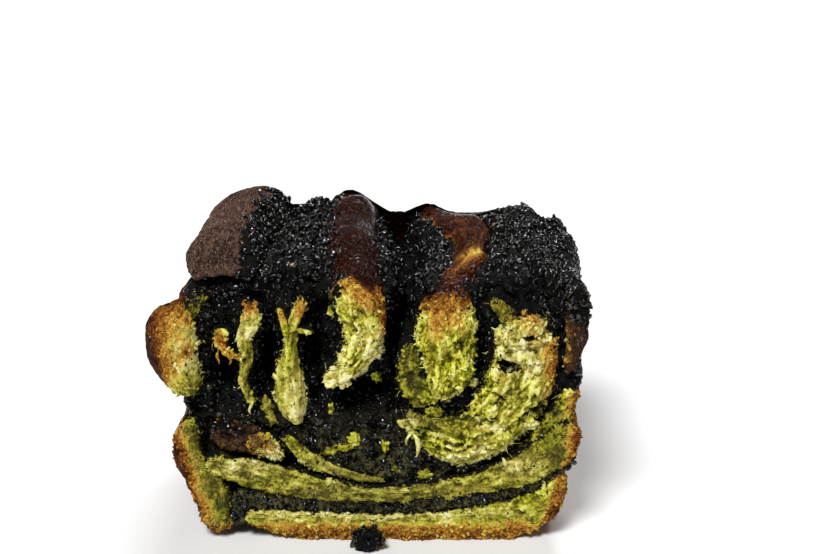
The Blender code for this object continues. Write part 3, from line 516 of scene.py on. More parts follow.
def carried_back(grids, front_depth, place, end, near_rings=NEAR_RINGS, far_rings=FAR_RINGS):
    """The surface over the front at front_depth, then back through rings to the depth end, closed flat.

    grids are those of section. The far rings have every second point of the near ones.
    """
    index = np.arange(front_depth.size).reshape(front_depth.shape)
    ring = np.concatenate([index[0, :-1], index[:-1, -1], index[-1, :0:-1], index[:0:-1, 0]])
    flat = [grid.ravel() for grid in grids]
    first = front_depth.ravel()[ring]
    near = np.minimum(NEAR_RUN, 0.8 * (end - first)) if far_rings else end - first
    depths = [first + near * step / near_rings for step in range(1, near_rings + 1)]
    far_ring, thin = ring[::2], slice(None, None, 2)
    start, run = (first + near)[thin], (end - first - near)[thin]
    depths += [start + run * step / far_rings for step in range(1, far_rings + 1)]
    sources = [ring] * near_rings + [far_ring] * far_rings
    source = np.concatenate([np.arange(front_depth.size), *sources])
    depth = np.concatenate([front_depth.ravel(), *depths])
    side = (np.arange(len(source)) >= front_depth.size).astype(float)

    corners = (index[:-1, :-1], index[:-1, 1:], index[1:, 1:], index[1:, :-1])
    faces = np.stack([corner.ravel() for corner in corners], axis=1).tolist()
    offsets = np.cumsum([front_depth.size] + [len(members) for members in sources])
    rings = [ring] + [np.arange(begin, finish) for begin, finish in zip(offsets, offsets[1:])]
    for here, behind in zip(rings, rings[1:]):
        if len(here) == len(behind):
            faces += np.stack([here, behind, np.roll(behind, -1), np.roll(here, -1)], axis=1).tolist()
            continue
        even, odd, after, beyond = here[::2], here[1::2], np.roll(here[::2], -1), np.roll(behind, -1)
        for triangle in ((even, behind, odd), (odd, behind, beyond), (odd, beyond, after)):
            faces += np.stack(triangle, axis=1).tolist()
    faces.append(rings[-1].tolist())
    all_x, all_z, all_edge, run, reach = (grid[source] for grid in flat)
    return Surface(place(all_x, all_z, depth), faces, all_x, all_z, depth, all_edge, side, run, reach)


def point_normals(points, faces):
    """Unit normals at the points, from the faces round each."""
    quads = np.array([face for face in faces if len(face) == 4])
    diagonal_a = points[quads[:, 2]] - points[quads[:, 0]]
    diagonal_b = points[quads[:, 3]] - points[quads[:, 1]]
    normals = np.zeros_like(points)
    for corner in range(4):
        np.add.at(normals, quads[:, corner], np.cross(diagonal_a, diagonal_b))
    return normals / np.maximum(1e-9, np.linalg.norm(normals, axis=1))[:, None]


def outward(surface, toward=-1):
    """Turns the faces so that the front looks toward -Y, or +Y where toward is 1, and returns the normals."""
    normals = point_normals(surface.points, surface.faces)
    if toward * normals[surface.side == 0, 1].sum() < 0:
        surface.faces = [face[::-1] for face in surface.faces]
        normals = -normals
    return normals


def placed(name, data):
    """A new object of the scene."""
    made = bpy.data.objects.new(name, data)
    bpy.context.scene.collection.objects.link(made)
    return made


def add_mesh(name, points, faces, masks, material, smooth=True):
    """A mesh piece from points in millimetres, kept inside the solids' box, with its masks as attributes."""
    data = bpy.data.meshes.new(name)
    low, high = np.array(CAD_LOW) + BOX_MARGIN, np.array(CAD_HIGH) - BOX_MARGIN
    low[2] = CAD_LOW[2]
    points = np.clip(np.asarray(points) * MM, low, high)
    data.from_pydata(points.tolist(), [], faces)
    for key, values in masks.items():
        layer = data.attributes.new(key, "FLOAT", "POINT")
        layer.data.foreach_set("value", np.clip(values, 0, 1).astype(np.float32))
    data.materials.append(material)
    data.validate()
    if smooth:
        data.shade_smooth()
    made = placed(name, data)
    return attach(made, "root")


# Dough.


def strand_place(strand):
    """The function that carries the strand's map places to the loaf, as it settles behind the tear."""
    middle = catmull_rom(strand.axis, 3)[1]
    dx, dz, scale_x, scale_z = strand.settle

    def place(x, z, depth):
        share = ramp(strand.front + 6, strand.front + strand.settle_run, depth)
        narrowing = (scale_x - 1) * (1 - strand.regain * ramp(34, 66, depth))
        settled_x = x + share * (dx + (x - middle[0]) * narrowing)
        settled_z = z + share * (dz + (z - middle[1]) * (scale_z - 1))
        return warp(settled_x, depth, settled_z)

    return place


def strand_surface(strand, step=FACE_STEP):
    """The strand's plain surface, as its solid has it."""
    x, z, edge, run, reach = section(strand, step)
    depth = strand.front + (strand.bulge + strand.edge_round) * edge**3
    relief = crags(x, z, strand.crag) + spots(DOUGH_PITS, x, z)
    depth = np.maximum(strand.front, depth + relief * (1 - 0.7 * edge))
    rings = (NEAR_RINGS, 0) if strand.end else (NEAR_RINGS, FAR_RINGS)
    grids = (x, z, edge, run, reach)
    return carried_back(grids, depth, strand_place(strand), strand.end or STRAND_END, *rings)


def at_sides(x, z, far, near):
    """1 within near of the loaf's left or right side, and 0 farther in than far."""
    return np.maximum(ramp(far, near, x - side_left(z)), ramp(far, near, side_right(z) - x))


def exposed(x, z):
    """1 where a place of the map is at the outside of the loaf, and 0 where other layers cover it."""
    return np.max([at_sides(x, z, 5, 2), ramp(4, 2, z), ramp(-6, -2, z - filling_top(x))], axis=0)


def dough_masks(strand, surface):
    """The masks at each point of a strand, about 0 to 1, from the strand's spots, slits and crown."""
    x, z, depth = surface.x, surface.z, surface.depth
    tear = strand.front + strand.bulge + strand.edge_round
    behind = surface.side * ramp(-2, 2.5, depth - tear)
    mottle = field(stacked(x, depth, z), 5, 11.3)
    rim = np.maximum(0.62 * strand.rim * at_sides(x, z, 3.6, 0.2), 0.52 * ramp(7.4, 3, z + 1.4 * mottle))
    browning = np.maximum(np.maximum(spots(strand.brown, x, z), rim), strand.baked)
    if strand.baked:
        browning -= 0.5 * spots(strand.pale, x, z)
    glaze = np.zeros(len(x))
    if strand.crown:
        above = z - strand.crown[0] - strand.crown[1] * x + 2 * mottle
        golden = 0.14 * ramp(-5.5, -1.5, above) + 0.34 * ramp(-2, 4, above)
        browning = np.maximum(browning, golden + 0.5 * ramp(3.6, 7.6, above))
        glaze = ramp(5, 8, above)
    shown = exposed(x, z)
    browning += (strand.outside[0] * shown - browning) * behind
    glaze += (strand.outside[1] * shown - glaze) * behind
    worn = spots(strand.worn, x, depth) * behind
    browning -= 0.76 * worn
    glaze -= 0.7 * worn
    patchy = field(stacked(x, z, 5.5), 7, 4.7)
    filling = (0.52 * ramp(0.74, 1, surface.edge) + 0.5 * np.maximum(0, patchy - 0.12)) * (browning < 0.4)
    seeded = ramp(0.2, 0.95, spots(strand.seeded, x, z) + 0.3 * mottle) * np.maximum(behind, strand.baked)
    inner = strand.outside[2] * shown + 0.66 * (1 - shown)
    slit = slit_lines(strand.slits, x, z) * (1 - behind)
    filling = filling + strand.soiled + (inner - filling) * behind
    # The filling mask holds the black smeared from the filling and, through 0.6 * slit, painted shade inside the
    # tears.
    filling = np.maximum(filling, np.maximum(0.75 * seeded, 0.6 * slit))
    return {
        "browning": browning + 0.12 * mottle,
        "glaze": glaze,
        "filling": filling + 0.18 * mottle * (filling > 0.05),
        "pale": (spots(strand.pale, x, z) + max(0, strand.tone)) * (1 - behind),
        "dull": (spots(strand.dull, x, z) - min(0, strand.tone)) * (1 - behind) + 0.6 * behind * (1 - shown),
        "seeded": seeded,
        "slit": slit,
    }


def dough_relief(surface, masks, torn=1, creased=0.4):
    """How far the dough stands proud of the plain surface, and a lightness of painted shade, 0 in a hole, to
    painted highlight, 1 on a flake.

    The crumb is folded, pulled into fibres along the strand, flaked, cracked and pitted. The crust is grainy, and
    smooth with small blisters where it is glazed.
    """
    points = surface.points
    crust = ramp(0.3, 0.62, masks["browning"])
    glazed = ramp(0.2, 0.8, masks["glaze"])
    pulled = stacked(surface.run / 2.2, surface.reach, surface.depth / 1.5)
    folds = 0.6 * fractal(points, 6.5, 2, 1.3) + 0.8 * fractal(pulled, 3.6, 2, 6.4)
    fibres = fractal(stacked(surface.run / 5, surface.reach / 1.2, surface.depth / 4), 1, 3, 9.1)
    flakes = 0.6 * fractal(points, 1.7, 4) + 1.1 * (0.22 - np.abs(fractal(points, 3.4, 4, 2.2)))
    crisp = 0.24 - np.abs(fractal(points, 1.5, 3, 8.3))
    tears = ramp(0.10, 0, np.abs(fractal(points, 8, 3, 5.7)))
    holey = ramp(0, 0.3, field(points, 8, 2.9))
    pores = ramp(0.40, 0.05, cells(points, 2.4, 2.3) + 0.12 * flakes) * (0.05 + 0.95 * holey)
    crumb = torn * (0.75 * folds + 0.3 * flakes - 0.8 * tears - 0.5 * pores)
    crumb = crumb + (0.25 + 0.5 * min(1, torn)) * fibres - 2.8 * masks["slit"]
    crumb += (0.3 + 0.5 * torn) * (1 - 0.7 * surface.side) * crisp
    crumbly = (0.15 + 0.5 * torn) * flakes + creased * fibres - 0.3 * pores
    amount = crumb * (1 - crust) + crumbly * crust
    frayed = ramp(0.82, 1, surface.edge) * (1 - surface.side) * (1 - crust)
    amount += 0.6 * torn * frayed * np.maximum(0, fractal(points, 2.1, 3, 3.1))
    blisters = 0.22 * fractal(points, 1.1, 3, 7.7)
    amount += (blisters - amount) * 0.86 * glazed
    black = surface.side * ramp(0.4, 0.6, masks["filling"])
    clots = 0.9 * fractal(points, 4.6, 3, 8.8) + 0.5 * ground_seeds(points) - 0.3
    amount += (clots - amount) * black
    # Painted light and shade: lighter on flakes, folds, fibres and crisp ridges, darker in tears and pores.
    light = 0.36 * flakes + 0.32 * folds + 0.74 * fibres + 0.95 * crisp - 0.5 * tears - 0.4 * pores
    light = 0.45 + min(1, 0.35 + 0.65 * torn) * light
    return amount, np.clip(light, 0, 1)


@dataclass
class Ground:
    """A dressed surface that loose pieces can lie on, in millimetres, with the masks at its points."""

    points: np.ndarray
    faces: list
    masks: dict

    def __getitem__(self, key):
        return self.masks[key]


def united(grounds):
    """Several grounds as one, with the masks that all of them have."""
    faces, start = [], 0
    for ground in grounds:
        faces += [[start + index for index in face] for face in ground.faces]
        start += len(ground.points)
    shared = set.intersection(*(set(ground.masks) for ground in grounds))
    masks = {key: np.concatenate([ground[key] for ground in grounds]) for key in sorted(shared)}
    return Ground(np.vstack([ground.points for ground in grounds]), faces, masks)


def dress_strand(strand, material):
    """The strand and its branches as one detailed piece, in place of its solid."""
    solids = []
    for solid in (strand, *strand.branches):
        surface = strand_surface(solid)
        normals = outward(surface)
        masks = dough_masks(solid, surface)
        # The height mask holds the relief's painted light and shade, which the material reads as lightness.
        amount, masks["height"] = dough_relief(surface, masks, solid.torn, solid.creased)
        masks.update(side=surface.side, depth=surface.depth, edge=surface.edge)
        masks["torn"] = np.full(len(surface.x), solid.torn)
        slender = min(1, solid.axis[1][2] / 3.4)
        solids.append(Ground(surface.points + normals * (amount * slender)[:, None], surface.faces, masks))
    ground = united(solids)
    made = add_mesh(strand.name + "_torn", ground.points, ground.faces, ground.masks, material)
    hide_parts(strand.name)
    return ground


# Filling.


def filling_top(x):
    """Height of the seeded top between the lobes, in the map."""
    ridges = sum(height * bell(x, centre, half) for centre, half, height in TOP_RIDGES)
    return FILLING_TOP + ridges - 6.5 * ramp(44, 62, np.abs(x - CENTRE_X))


def filling_side(z):
    """X of the filling's left and right sides, which swell where they show between the crusts."""
    return -53.4 - 2.2 * bell(z, 43.5, 4.5), 60.4 + 2.4 * bell(z, 51.5, 4.5)


def second_layer_line(x):
    """Height of the second layer's middle at x, where the upper filling starts."""
    axis = np.array(STRANDS[1].axis)
    return np.interp(x, axis[:, 0], axis[:, 1])


def filling_front(x, z):
    """How deep the torn filling lies behind the foremost plane, with its wells."""
    depth = FILLING_FRONT + crags(x, z, 3.2) + spots(FILLING_WELLS, x, z)
    return depth + 4 * ramp(68, 80, z) - 3 * ramp(34, 18, z)


def clotted(surface, normals, coarse=1.3, fine=0.6):
    """Points with the relief of ground seeds bound in a paste, and the mask of its grains."""
    clots, grains = fractal(surface.points, 4.6, 4, 8.8), ground_seeds(surface.points)
    lumps = ramp(0.8, 0.2, cells(surface.points, 3.4, 6.6))
    return surface.points + normals * (coarse * clots + fine * grains + 0.7 * fine * lumps)[:, None], grains


def add_filling(name, points, faces, material, **masks):
    """A piece of filling, and its ground. Masks that aren't given are 0; the material reads the first three."""
    keys = ("grain", "sunk", "dusty", "upward", "depth", "groove")
    masks = {key: masks.get(key, 0) + np.zeros(len(points)) for key in keys}
    made = add_mesh(name, points, faces, {key: masks[key] for key in keys[:3]}, material)
    return made, Ground(points, faces, masks)


def dress_upper_filling(material):
    """The black mass between the lobes, over its solid's place."""
    left, right = filling_side(0)
    share = np.linspace(0, 1, FILLING_COLUMNS + 1)[None, :]
    rise = np.linspace(0, 1, FILLING_ROWS + 1)[:, None]
    x = left + (right - left) * share
    low = second_layer_line(x)
    z = low + (filling_top(x) - low) * rise
    wide_left, wide_right = filling_side(z)
    x = x + (wide_left - left) * (1 - share) ** 6 + (wide_right - right) * share**6

    def place(place_x, place_z, depth):
        near_top = ramp(filling_top(place_x) - 3, filling_top(place_x), place_z)
        clots = field(stacked(place_x / 6, depth / 6, 9.1), 1)
        return warp(place_x, depth, place_z + near_top * clots * ramp(10, 14, depth))

    front = filling_front(x, z) + 1.3 * ramp(34, 24, z)
    surface = carried_back((x, z, 0 * x, x, z), front, place, STRAND_END, FILLING_RINGS, 0)
    points, grains = clotted(surface, outward(surface))
    upward = ramp(4, 1, filling_top(surface.x) - surface.z)
    # The groove and the deep wells make the painted shade: the paste is painted near black there, as shade falls in
    # them. The groove also thins the grains and seeds.
    groove = 0.95 * bell(surface.x, GROOVE_X, 4) * ramp(40, 56, surface.z)
    deep = ramp(10, 18, surface.depth) * (1 - upward) * (1 - surface.side)
    made, ground = add_filling(
        "filling_upper_ground", points, surface.faces, material, grain=grains, sunk=np.maximum(groove, deep),
        dusty=0.5 * ramp(44, 24, surface.z), upward=upward, depth=surface.depth, groove=groove,
    )
    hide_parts("filling_upper")
    return ground


def dress_lower_filling(material):
    """The sheet of filling over the bottom layer."""
    surface = strand_surface(LOWER_SHEET)
    points, grains = clotted(surface, outward(surface), coarse=0.5, fine=0.45)
    masks = {"grain": grains, "dusty": 0.7, "depth": surface.depth}
    made, ground = add_filling("filling_lower_ground", points, surface.faces, material, **masks)
    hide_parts("filling_lower")
    return ground


def dress_clot(material):
    """The loose clot of filling before the loaf."""
    round_points, faces = ball(5)
    swell = 1 + 0.28 * field(round_points * 1.7, 1, (4, 2, 9))
    points = round_points * CLOT_SIZE * swell[:, None]
    grains = ground_seeds(points)
    points += round_points * (0.5 * fractal(points, 2.2, 3) + 0.35 * grains - 0.3)[:, None]
    points[:, 2] = np.maximum(0, points[:, 2] + 0.75 * CLOT_SIZE[2])
    points += (CLOT_PLACE[0], CLOT_PLACE[1] - ORIGIN_DEPTH, 0)
    made, ground = add_filling("filling_clot_ground", points, faces.tolist(), material, grain=grains, upward=0.3)
    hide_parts("filling_clot")
    return ground


def dress_heel(material):
    """The crusted end of the loaf."""
    share = np.cos(np.pi * (0.08 + 0.84 * np.linspace(0, 1, HEEL_COLUMNS + 1))) / np.cos(np.pi * 0.08)
    share = (0.5 - 0.5 * share)[None, :]
    rise = np.linspace(0, 1, HEEL_ROWS + 1)[:, None]
    middle = side_left(60) + (side_right(60) - side_left(60)) * share
    z = along(HEEL_TOP, middle) * rise
    x = side_left(z) + (side_right(z) - side_left(z)) * share
    nearness = (np.abs(2 * share - 1) ** 4 + np.abs(2 * rise - 1) ** 4) ** 0.25
    fall = np.clip((nearness - 0.55) / 0.45, 0, 1)
    depth = LOAF_DEPTH + 0.6 - HEEL_ROUND * (1 - np.sqrt(1 - fall**2)) + crags(x * 0.4, z * 0.4, 3.2)
    creased = ramp(6, 60, z) * (1 - 0.8 * fall)
    for crease_x, crease_depth in HEEL_CREASES:
        depth = depth - crease_depth * creased * bell(x, crease_x + 0.12 * (z - 40), 7)
    depth = np.minimum(LOAF_DEPTH, depth)
    front = LOAF_DEPTH - HEEL_THICKNESS

    def place(place_x, place_z, place_depth):
        return warp(place_x, place_depth, place_z)

    surface = carried_back((x, z, nearness, x, z), depth, place, front, HEEL_RINGS, 0)
    normals = outward(surface, toward=1)
    surface.side[:] = 0
    mottle = field(surface.points, 9, 3.3)
    high = ramp(30, 74, surface.z + 8 * mottle)
    flat = np.zeros(len(surface.points))
    masks = {
        "browning": 0.62 + 0.36 * high + 0.12 * mottle,
        "glaze": 0.9 * high,
        "filling": 0.25 * ramp(0.1, 0.5, mottle) * high,
        "seeded": ramp(0.25, 0.5, mottle) * high,
        **dict.fromkeys(("pale", "dull", "slit"), flat),
    }
    amount, masks["height"] = dough_relief(surface, masks, torn=0.4, creased=0.1)
    masks["side"] = masks["edge"] = masks["torn"] = flat + 1
    points = surface.points + normals * amount[:, None]
    made = add_mesh("dough_heel_crust", points, surface.faces, masks, material)
    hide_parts("dough_heel")
    return Ground(points, surface.faces, masks)


# Loose pieces: grains, seeds, flakes, crumbs, shreds and scraps, each kind joined in one mesh.


def ball(subdivisions):
    """Points and triangles of a unit ball."""
    mesh = bmesh.new()
    bmesh.ops.create_icosphere(mesh, subdivisions=subdivisions, radius=1)
    points = np.array([vertex.co for vertex in mesh.verts])
    faces = np.array([[vertex.index for vertex in face.verts] for face in mesh.faces])
    mesh.free()
    return points, faces


def pick(ground, rng, count, weight, tree):
    """Random places on a ground, by area times the weight at its points, with the normals and masks there.

    Places that the surfaces of the tree hide from the front, from above and from straight out are left out.
    """
    corners_of = [face[:3] for face in ground.faces if len(face) < 5]
    corners_of += [[face[0], face[2], face[3]] for face in ground.faces if len(face) == 4]
    triangles = np.array(corners_of)
    corners = ground.points[triangles]
    across = np.cross(corners[:, 1] - corners[:, 0], corners[:, 2] - corners[:, 0])
    area = np.linalg.norm(across, axis=1)
    share = area * weight[triangles].mean(axis=1)
    chosen = rng.choice(len(triangles), size=count, p=share / share.sum())
    first, second = np.sqrt(rng.random(count)), rng.random(count)
    mix = np.stack([1 - first, first * (1 - second), first * second], axis=1)
    places = (corners[chosen] * mix[:, :, None]).sum(axis=1)
    normals = across[chosen] / area[chosen][:, None]
    kept = np.array([open_to_view(tree, place, normal) for place, normal in zip(places, normals)])
    masks = {key: (values[triangles[chosen]] * mix).sum(axis=1)[kept] for key, values in ground.masks.items()}
    return places[kept], normals[kept], masks


def open_to_view(tree, place, normal):
    """Whether a place can be seen from the front, from above or from straight out."""
    start = Vector(place + 0.7 * normal)
    for direction in ((0, -0.94, 0.34), (0, 0, 1), tuple(normal)):
        if tree.ray_cast(start, Vector(direction), SIGHT)[0] is None:
            return True
    return False


def repeated(faces, count, size):
    """The faces of a shape with that many points, for count copies of it."""
    return (faces[None] + (np.arange(count) * size)[:, None, None]).reshape(-1, faces.shape[1]).tolist()


def lay(name, shape, places, normals, sizes, rng, material, lift, tilt, rough, masks=None, smooth=True):
    """A piece of copies of a shape, spun at random, that lie at those places of a surface.

    lift is how high they lie, tilt how far they lean, and rough the share by which their points move in or out.
    Without masks, each copy has a grain mask of its own.
    """
    points, faces = shape
    up = unit(normals + tilt * rng.normal(size=normals.shape))
    across = unit(np.cross(up, rng.normal(size=normals.shape)))
    turns = np.stack([across, np.cross(up, across), up], axis=2)
    jitter = 1 + rough * rng.normal(size=(len(places), len(points), 1))
    local = points[None] * sizes[:, None, :] * jitter
    world = (places + lift * normals)[:, None, :] + np.einsum("nij,npj->npi", turns, local)
    masks = masks or {"grain": rng.random(len(places))}
    masks = {key: np.repeat(values, len(points)) for key, values in masks.items()}
    faces = repeated(faces, len(places), len(points))
    add_mesh(name, world.reshape(-1, 3), faces, masks, material, smooth)


def seed_shape():
    """A sesame seed of unit half length: flat, round at one end and pointed at the other."""
    points, faces = ball(2)
    taper = 1 - 0.42 * points[:, 0]
    return np.stack([points[:, 0], points[:, 1] * taper, points[:, 2]], axis=1), faces


def add_grains(filling, crumb, tree, material):
    """Coarsely ground seeds over the filling and the smeared sides of the strands."""
    rng = np.random.default_rng(11)
    weight = 1 - 0.85 * ramp(12, 18, filling["depth"]) * (1 - filling["upward"])
    weight *= 1 - 0.9 * filling["groove"]
    places, normals, _ = pick(filling, rng, GRAIN_TRIES[0], weight, tree)
    smeared = ramp(0.45, 0.6, crumb["filling"]) * crumb["side"] * ramp(30, 10, crumb["depth"])
    smeared = np.maximum(smeared, 1.5 * crumb["seeded"])
    more, more_normals, _ = pick(crumb, rng, GRAIN_TRIES[1], smeared, tree)
    first, then = GRAIN_MOST
    places, normals = np.vstack([places[:first], more[:then]]), np.vstack([normals[:first], more_normals[:then]])
    sizes = 0.26 + 0.75 * rng.random((len(places), 1)) ** 3
    sizes = sizes * (1 + 0.25 * rng.normal(size=(len(places), 3))).clip(0.5, 1.6)
    lay("filling_grains", ball(1), places, normals, sizes, rng, material, lift=0.1, tilt=0.8, rough=0.16)


def add_seeds(filling, crusts, tree, material):
    """Whole black sesame seeds: thick on top between the lobes, few on the torn face and on the seeded crusts."""
    rng = np.random.default_rng(12)
    top = filling["upward"] * ramp(6, 12, filling["depth"])
    low = ramp(52, 30, filling.points[:, 2]) * ramp(20, 12, filling["depth"])
    weight = (0.14 + 0.86 * top + 0.5 * low) * (1 - 0.9 * filling["groove"])
    places, normals, _ = pick(filling, rng, SEED_TRIES[0], weight, tree)
    more, more_normals, _ = pick(crusts, rng, SEED_TRIES[1], crusts["seeded"], tree)
    places, normals = np.vstack([places, more]), np.vstack([normals, more_normals])
    sizes = SEED_HALF * (1 + 0.1 * rng.normal(size=(len(places), 1))) * (1, 0.62, 0.32)
    lay("sesame_seeds", seed_shape(), places, normals, sizes, rng, material, lift=0.3, tilt=0.35, rough=0.03)


def add_flakes(crumb, tree, material):
    """Ragged flakes of torn crumb, thickest along the frayed edges."""
    rng = np.random.default_rng(13)
    front = (1 - crumb["side"]) * ramp(0.5, 0.2, crumb["browning"])
    weight = front * crumb["torn"] * (0.16 + 1.2 * ramp(0.7, 0.98, crumb["edge"]))
    places, normals, masks = pick(crumb, rng, FLAKE_TRIES, weight, tree)
    # Each flake keeps the painted light and shade of the crumb under it, raised by a random amount.
    masks["height"] = np.clip(masks["height"] + 0.5 * rng.random(len(places)), 0, 1)
    sizes = (0.36 + 1.2 * rng.random((len(places), 1)) ** 4) * (1, 0.55, 0.16)
    look = {"lift": 0.15, "tilt": 0.9, "rough": 0.34, "masks": masks}
    lay("dough_flakes", ball(1), places, normals, sizes, rng, material, **look)


def add_toasted_crumbs(crumb, tree, material):
    """Crisp crumbs along the browned edges of the torn face, where the crust broke."""
    rng = np.random.default_rng(16)
    browned = ramp(0.2, 0.36, crumb["browning"]) * ramp(0.8, 0.6, crumb["browning"])
    near = ramp(9, 3, crumb["depth"]) * (1 - ramp(0.1, 0.4, crumb["glaze"]))
    weight = browned * near * (0.5 + 3 * ramp(5, 1, crumb.points[:, 2]) + ramp(0.8, 1, crumb["edge"]))
    places, normals, masks = pick(crumb, rng, TOASTED_TRIES, weight, tree)
    masks["browning"] = masks["browning"] + 0.34 * (rng.random(len(places)) - 0.55)
    masks["height"] = 0.3 + 0.7 * rng.random(len(places))
    masks["filling"] = 0 * masks["filling"]
    sizes = (0.24 + 0.7 * rng.random((len(places), 1)) ** 3) * (1.2, 0.9, 0.6)
    look = {"lift": 0.1, "tilt": 0.8, "rough": 0.26, "smooth": False}
    lay("toasted_crumbs", ball(1), places, normals, sizes, rng, material, masks=masks, **look)


def add_specks(crusts, tree, material):
    """Black grains that stick to the torn crumb and the crusts."""
    rng = np.random.default_rng(14)
    weight = 0.35 + ramp(0.8, 1, crusts["edge"]) + 0.5 * crusts["filling"]
    weight = weight * (1 - 0.9 * crusts["glaze"]) * (1 - 0.75 * crusts["side"])
    places, normals, _ = pick(crusts, rng, SPECK_TRIES, weight, tree)
    sizes = (0.16 + 0.4 * rng.random((len(places), 1)) ** 2) * (1.2, 1, 0.7)
    look = {"lift": 0, "tilt": 0.6, "rough": 0.2, "smooth": False}
    lay("dough_specks", ball(1), places, normals, sizes, rng, material, **look)


def add_shreds(crumb, tree, material):
    """Threads of dough pulled out as the loaf was torn: tapered tubes that curl."""
    rng, rings, sides = np.random.default_rng(15), 6, 5
    weight = (1 - crumb["side"]) * ramp(0.4, 0.1, crumb["browning"])
    weight = weight * crumb["torn"] ** 2 * ramp(0.6, 0.95, crumb["edge"])
    places, normals, masks = pick(crumb, rng, SHRED_TRIES, weight, tree)
    count = len(places)
    heading = unit(normals + (0, -0.3, -0.2) + 0.9 * rng.normal(size=normals.shape))
    curl = unit(np.cross(heading, rng.normal(size=heading.shape)))
    third = np.cross(heading, curl)
    length = (0.7 + 1.8 * rng.random(count) ** 2)[:, None]
    share = np.linspace(0, 1, rings)
    run, bend = length * share, 0.8 * length * share**2
    centre = places[:, None] + heading[:, None] * run[:, :, None] + curl[:, None] * bend[:, :, None]
    width = (0.16 + 0.2 * rng.random(count))[:, None] * (1 - 0.75 * share)
    angle = 2 * np.pi * np.arange(sides)[:, None] / sides
    round_about = np.cos(angle) * curl[:, None] + 0.5 * np.sin(angle) * third[:, None]
    points = centre[:, :, None] + width[:, :, None, None] * round_about[:, None]
    here = np.arange((rings - 1) * sides)
    after = here - here % sides + (here + 1) % sides
    faces = repeated(np.stack([here, after, after + sides, here + sides], axis=1), count, rings * sides)
    for start in range(0, count * rings * sides, rings * sides):
        faces.append([start + side for side in range(sides)][::-1])
        faces.append([start + (rings - 1) * sides + side for side in range(sides)])
    masks["height"] = 0.6 + 0.3 * rng.random(count)
    masks["filling"] = 0 * masks["filling"]
    masks = {key: np.repeat(values, rings * sides) for key, values in masks.items()}
    add_mesh("dough_shreds", points.reshape(-1, 3), faces, masks, material)


def on_face(tree, x, z):
    """The foremost point of the torn face at a place of the map."""
    across, _, high = warp(x, 0, z)
    hit = tree.ray_cast(Vector((across, -SIGHT, high)), Vector((0, 1, 0)))[0]
    return np.array(hit) if hit else np.array([across, FILLING_FRONT - ORIGIN_DEPTH, high])


def add_scraps(tree, material):
    """Scraps of crumb on the torn face, and the long shreds that hang from it."""
    round_points, faces = ball(4)
    shapes, amounts = [], []
    for index, (x, z, wide, tall, pale, dull) in enumerate(SCRAPS):
        swell = 1 + 0.55 * fractal(round_points * 1.3 + index, 1, 4)
        shape = round_points * (wide, 0.34 * (wide + tall) * 0.6, tall) * swell[:, None]
        shape += 0.45 * stacked(*(fractal(shape, 1.1, 3, index + offset) for offset in (0.3, 4.1, 7.7)))
        shapes.append(shape + on_face(tree, x, z) - (0, 0.3, 0))
        amounts.append((pale, dull, 0, 0, 0, 0))
    for index, (x, z, length, lean, wide, browning) in enumerate(HANGING):
        share = 0.5 - 0.5 * round_points[:, 2]
        width = wide * (1 - 0.6 * share) * (1 + 0.3 * fractal(round_points * (1, 1, 3) + index, 1, 3))
        across = round_points[:, 0] * width + lean * length * share + 0.7 * np.sin(4 * share + 2 * index)
        forward = round_points[:, 1] * width * 0.6 - 1.4 * share * (1 - share)
        shape = np.stack([across, forward, -length * share], axis=1)
        shapes.append(shape + on_face(tree, x, z) - (0, 0.4, 0))
        amounts.append((0.9 - browning, 0.1, browning, 0, 0, 0))
    points = np.vstack(shapes)
    keys = ("pale", "dull", "browning", "glaze", "filling", "side")
    masks = {key: np.repeat(values, len(round_points)) for key, values in zip(keys, zip(*amounts))}
    masks["height"] = np.clip(0.5 + 0.5 * fractal(points, 1.4, 4, 6.2), 0, 1)
    faces = repeated(faces, len(shapes), len(round_points))
    add_mesh("dough_scraps", points, faces, masks, material)


# Materials.


def srgb(*levels):
    """A linear colour from display levels of 0 to 255."""
    shares = [level / 255 for level in levels]
    return (*(share / 12.92 if share <= 0.04045 else ((share + 0.055) / 1.055) ** 2.4 for share in shares), 1)


class Value:
    """What a node gives out. Sums, differences and products of it are Math nodes."""

    def __init__(self, nodes, socket):
        self.nodes, self.socket = nodes, socket

    def __add__(self, other):
        return self.nodes.math("ADD", self, other)

    def __sub__(self, other):
        return self.nodes.math("SUBTRACT", self, other)

    def __mul__(self, other):
        return self.nodes.math("MULTIPLY", self, other)

    def __abs__(self):
        return self.nodes.math("ABSOLUTE", self)

    __rmul__ = __mul__


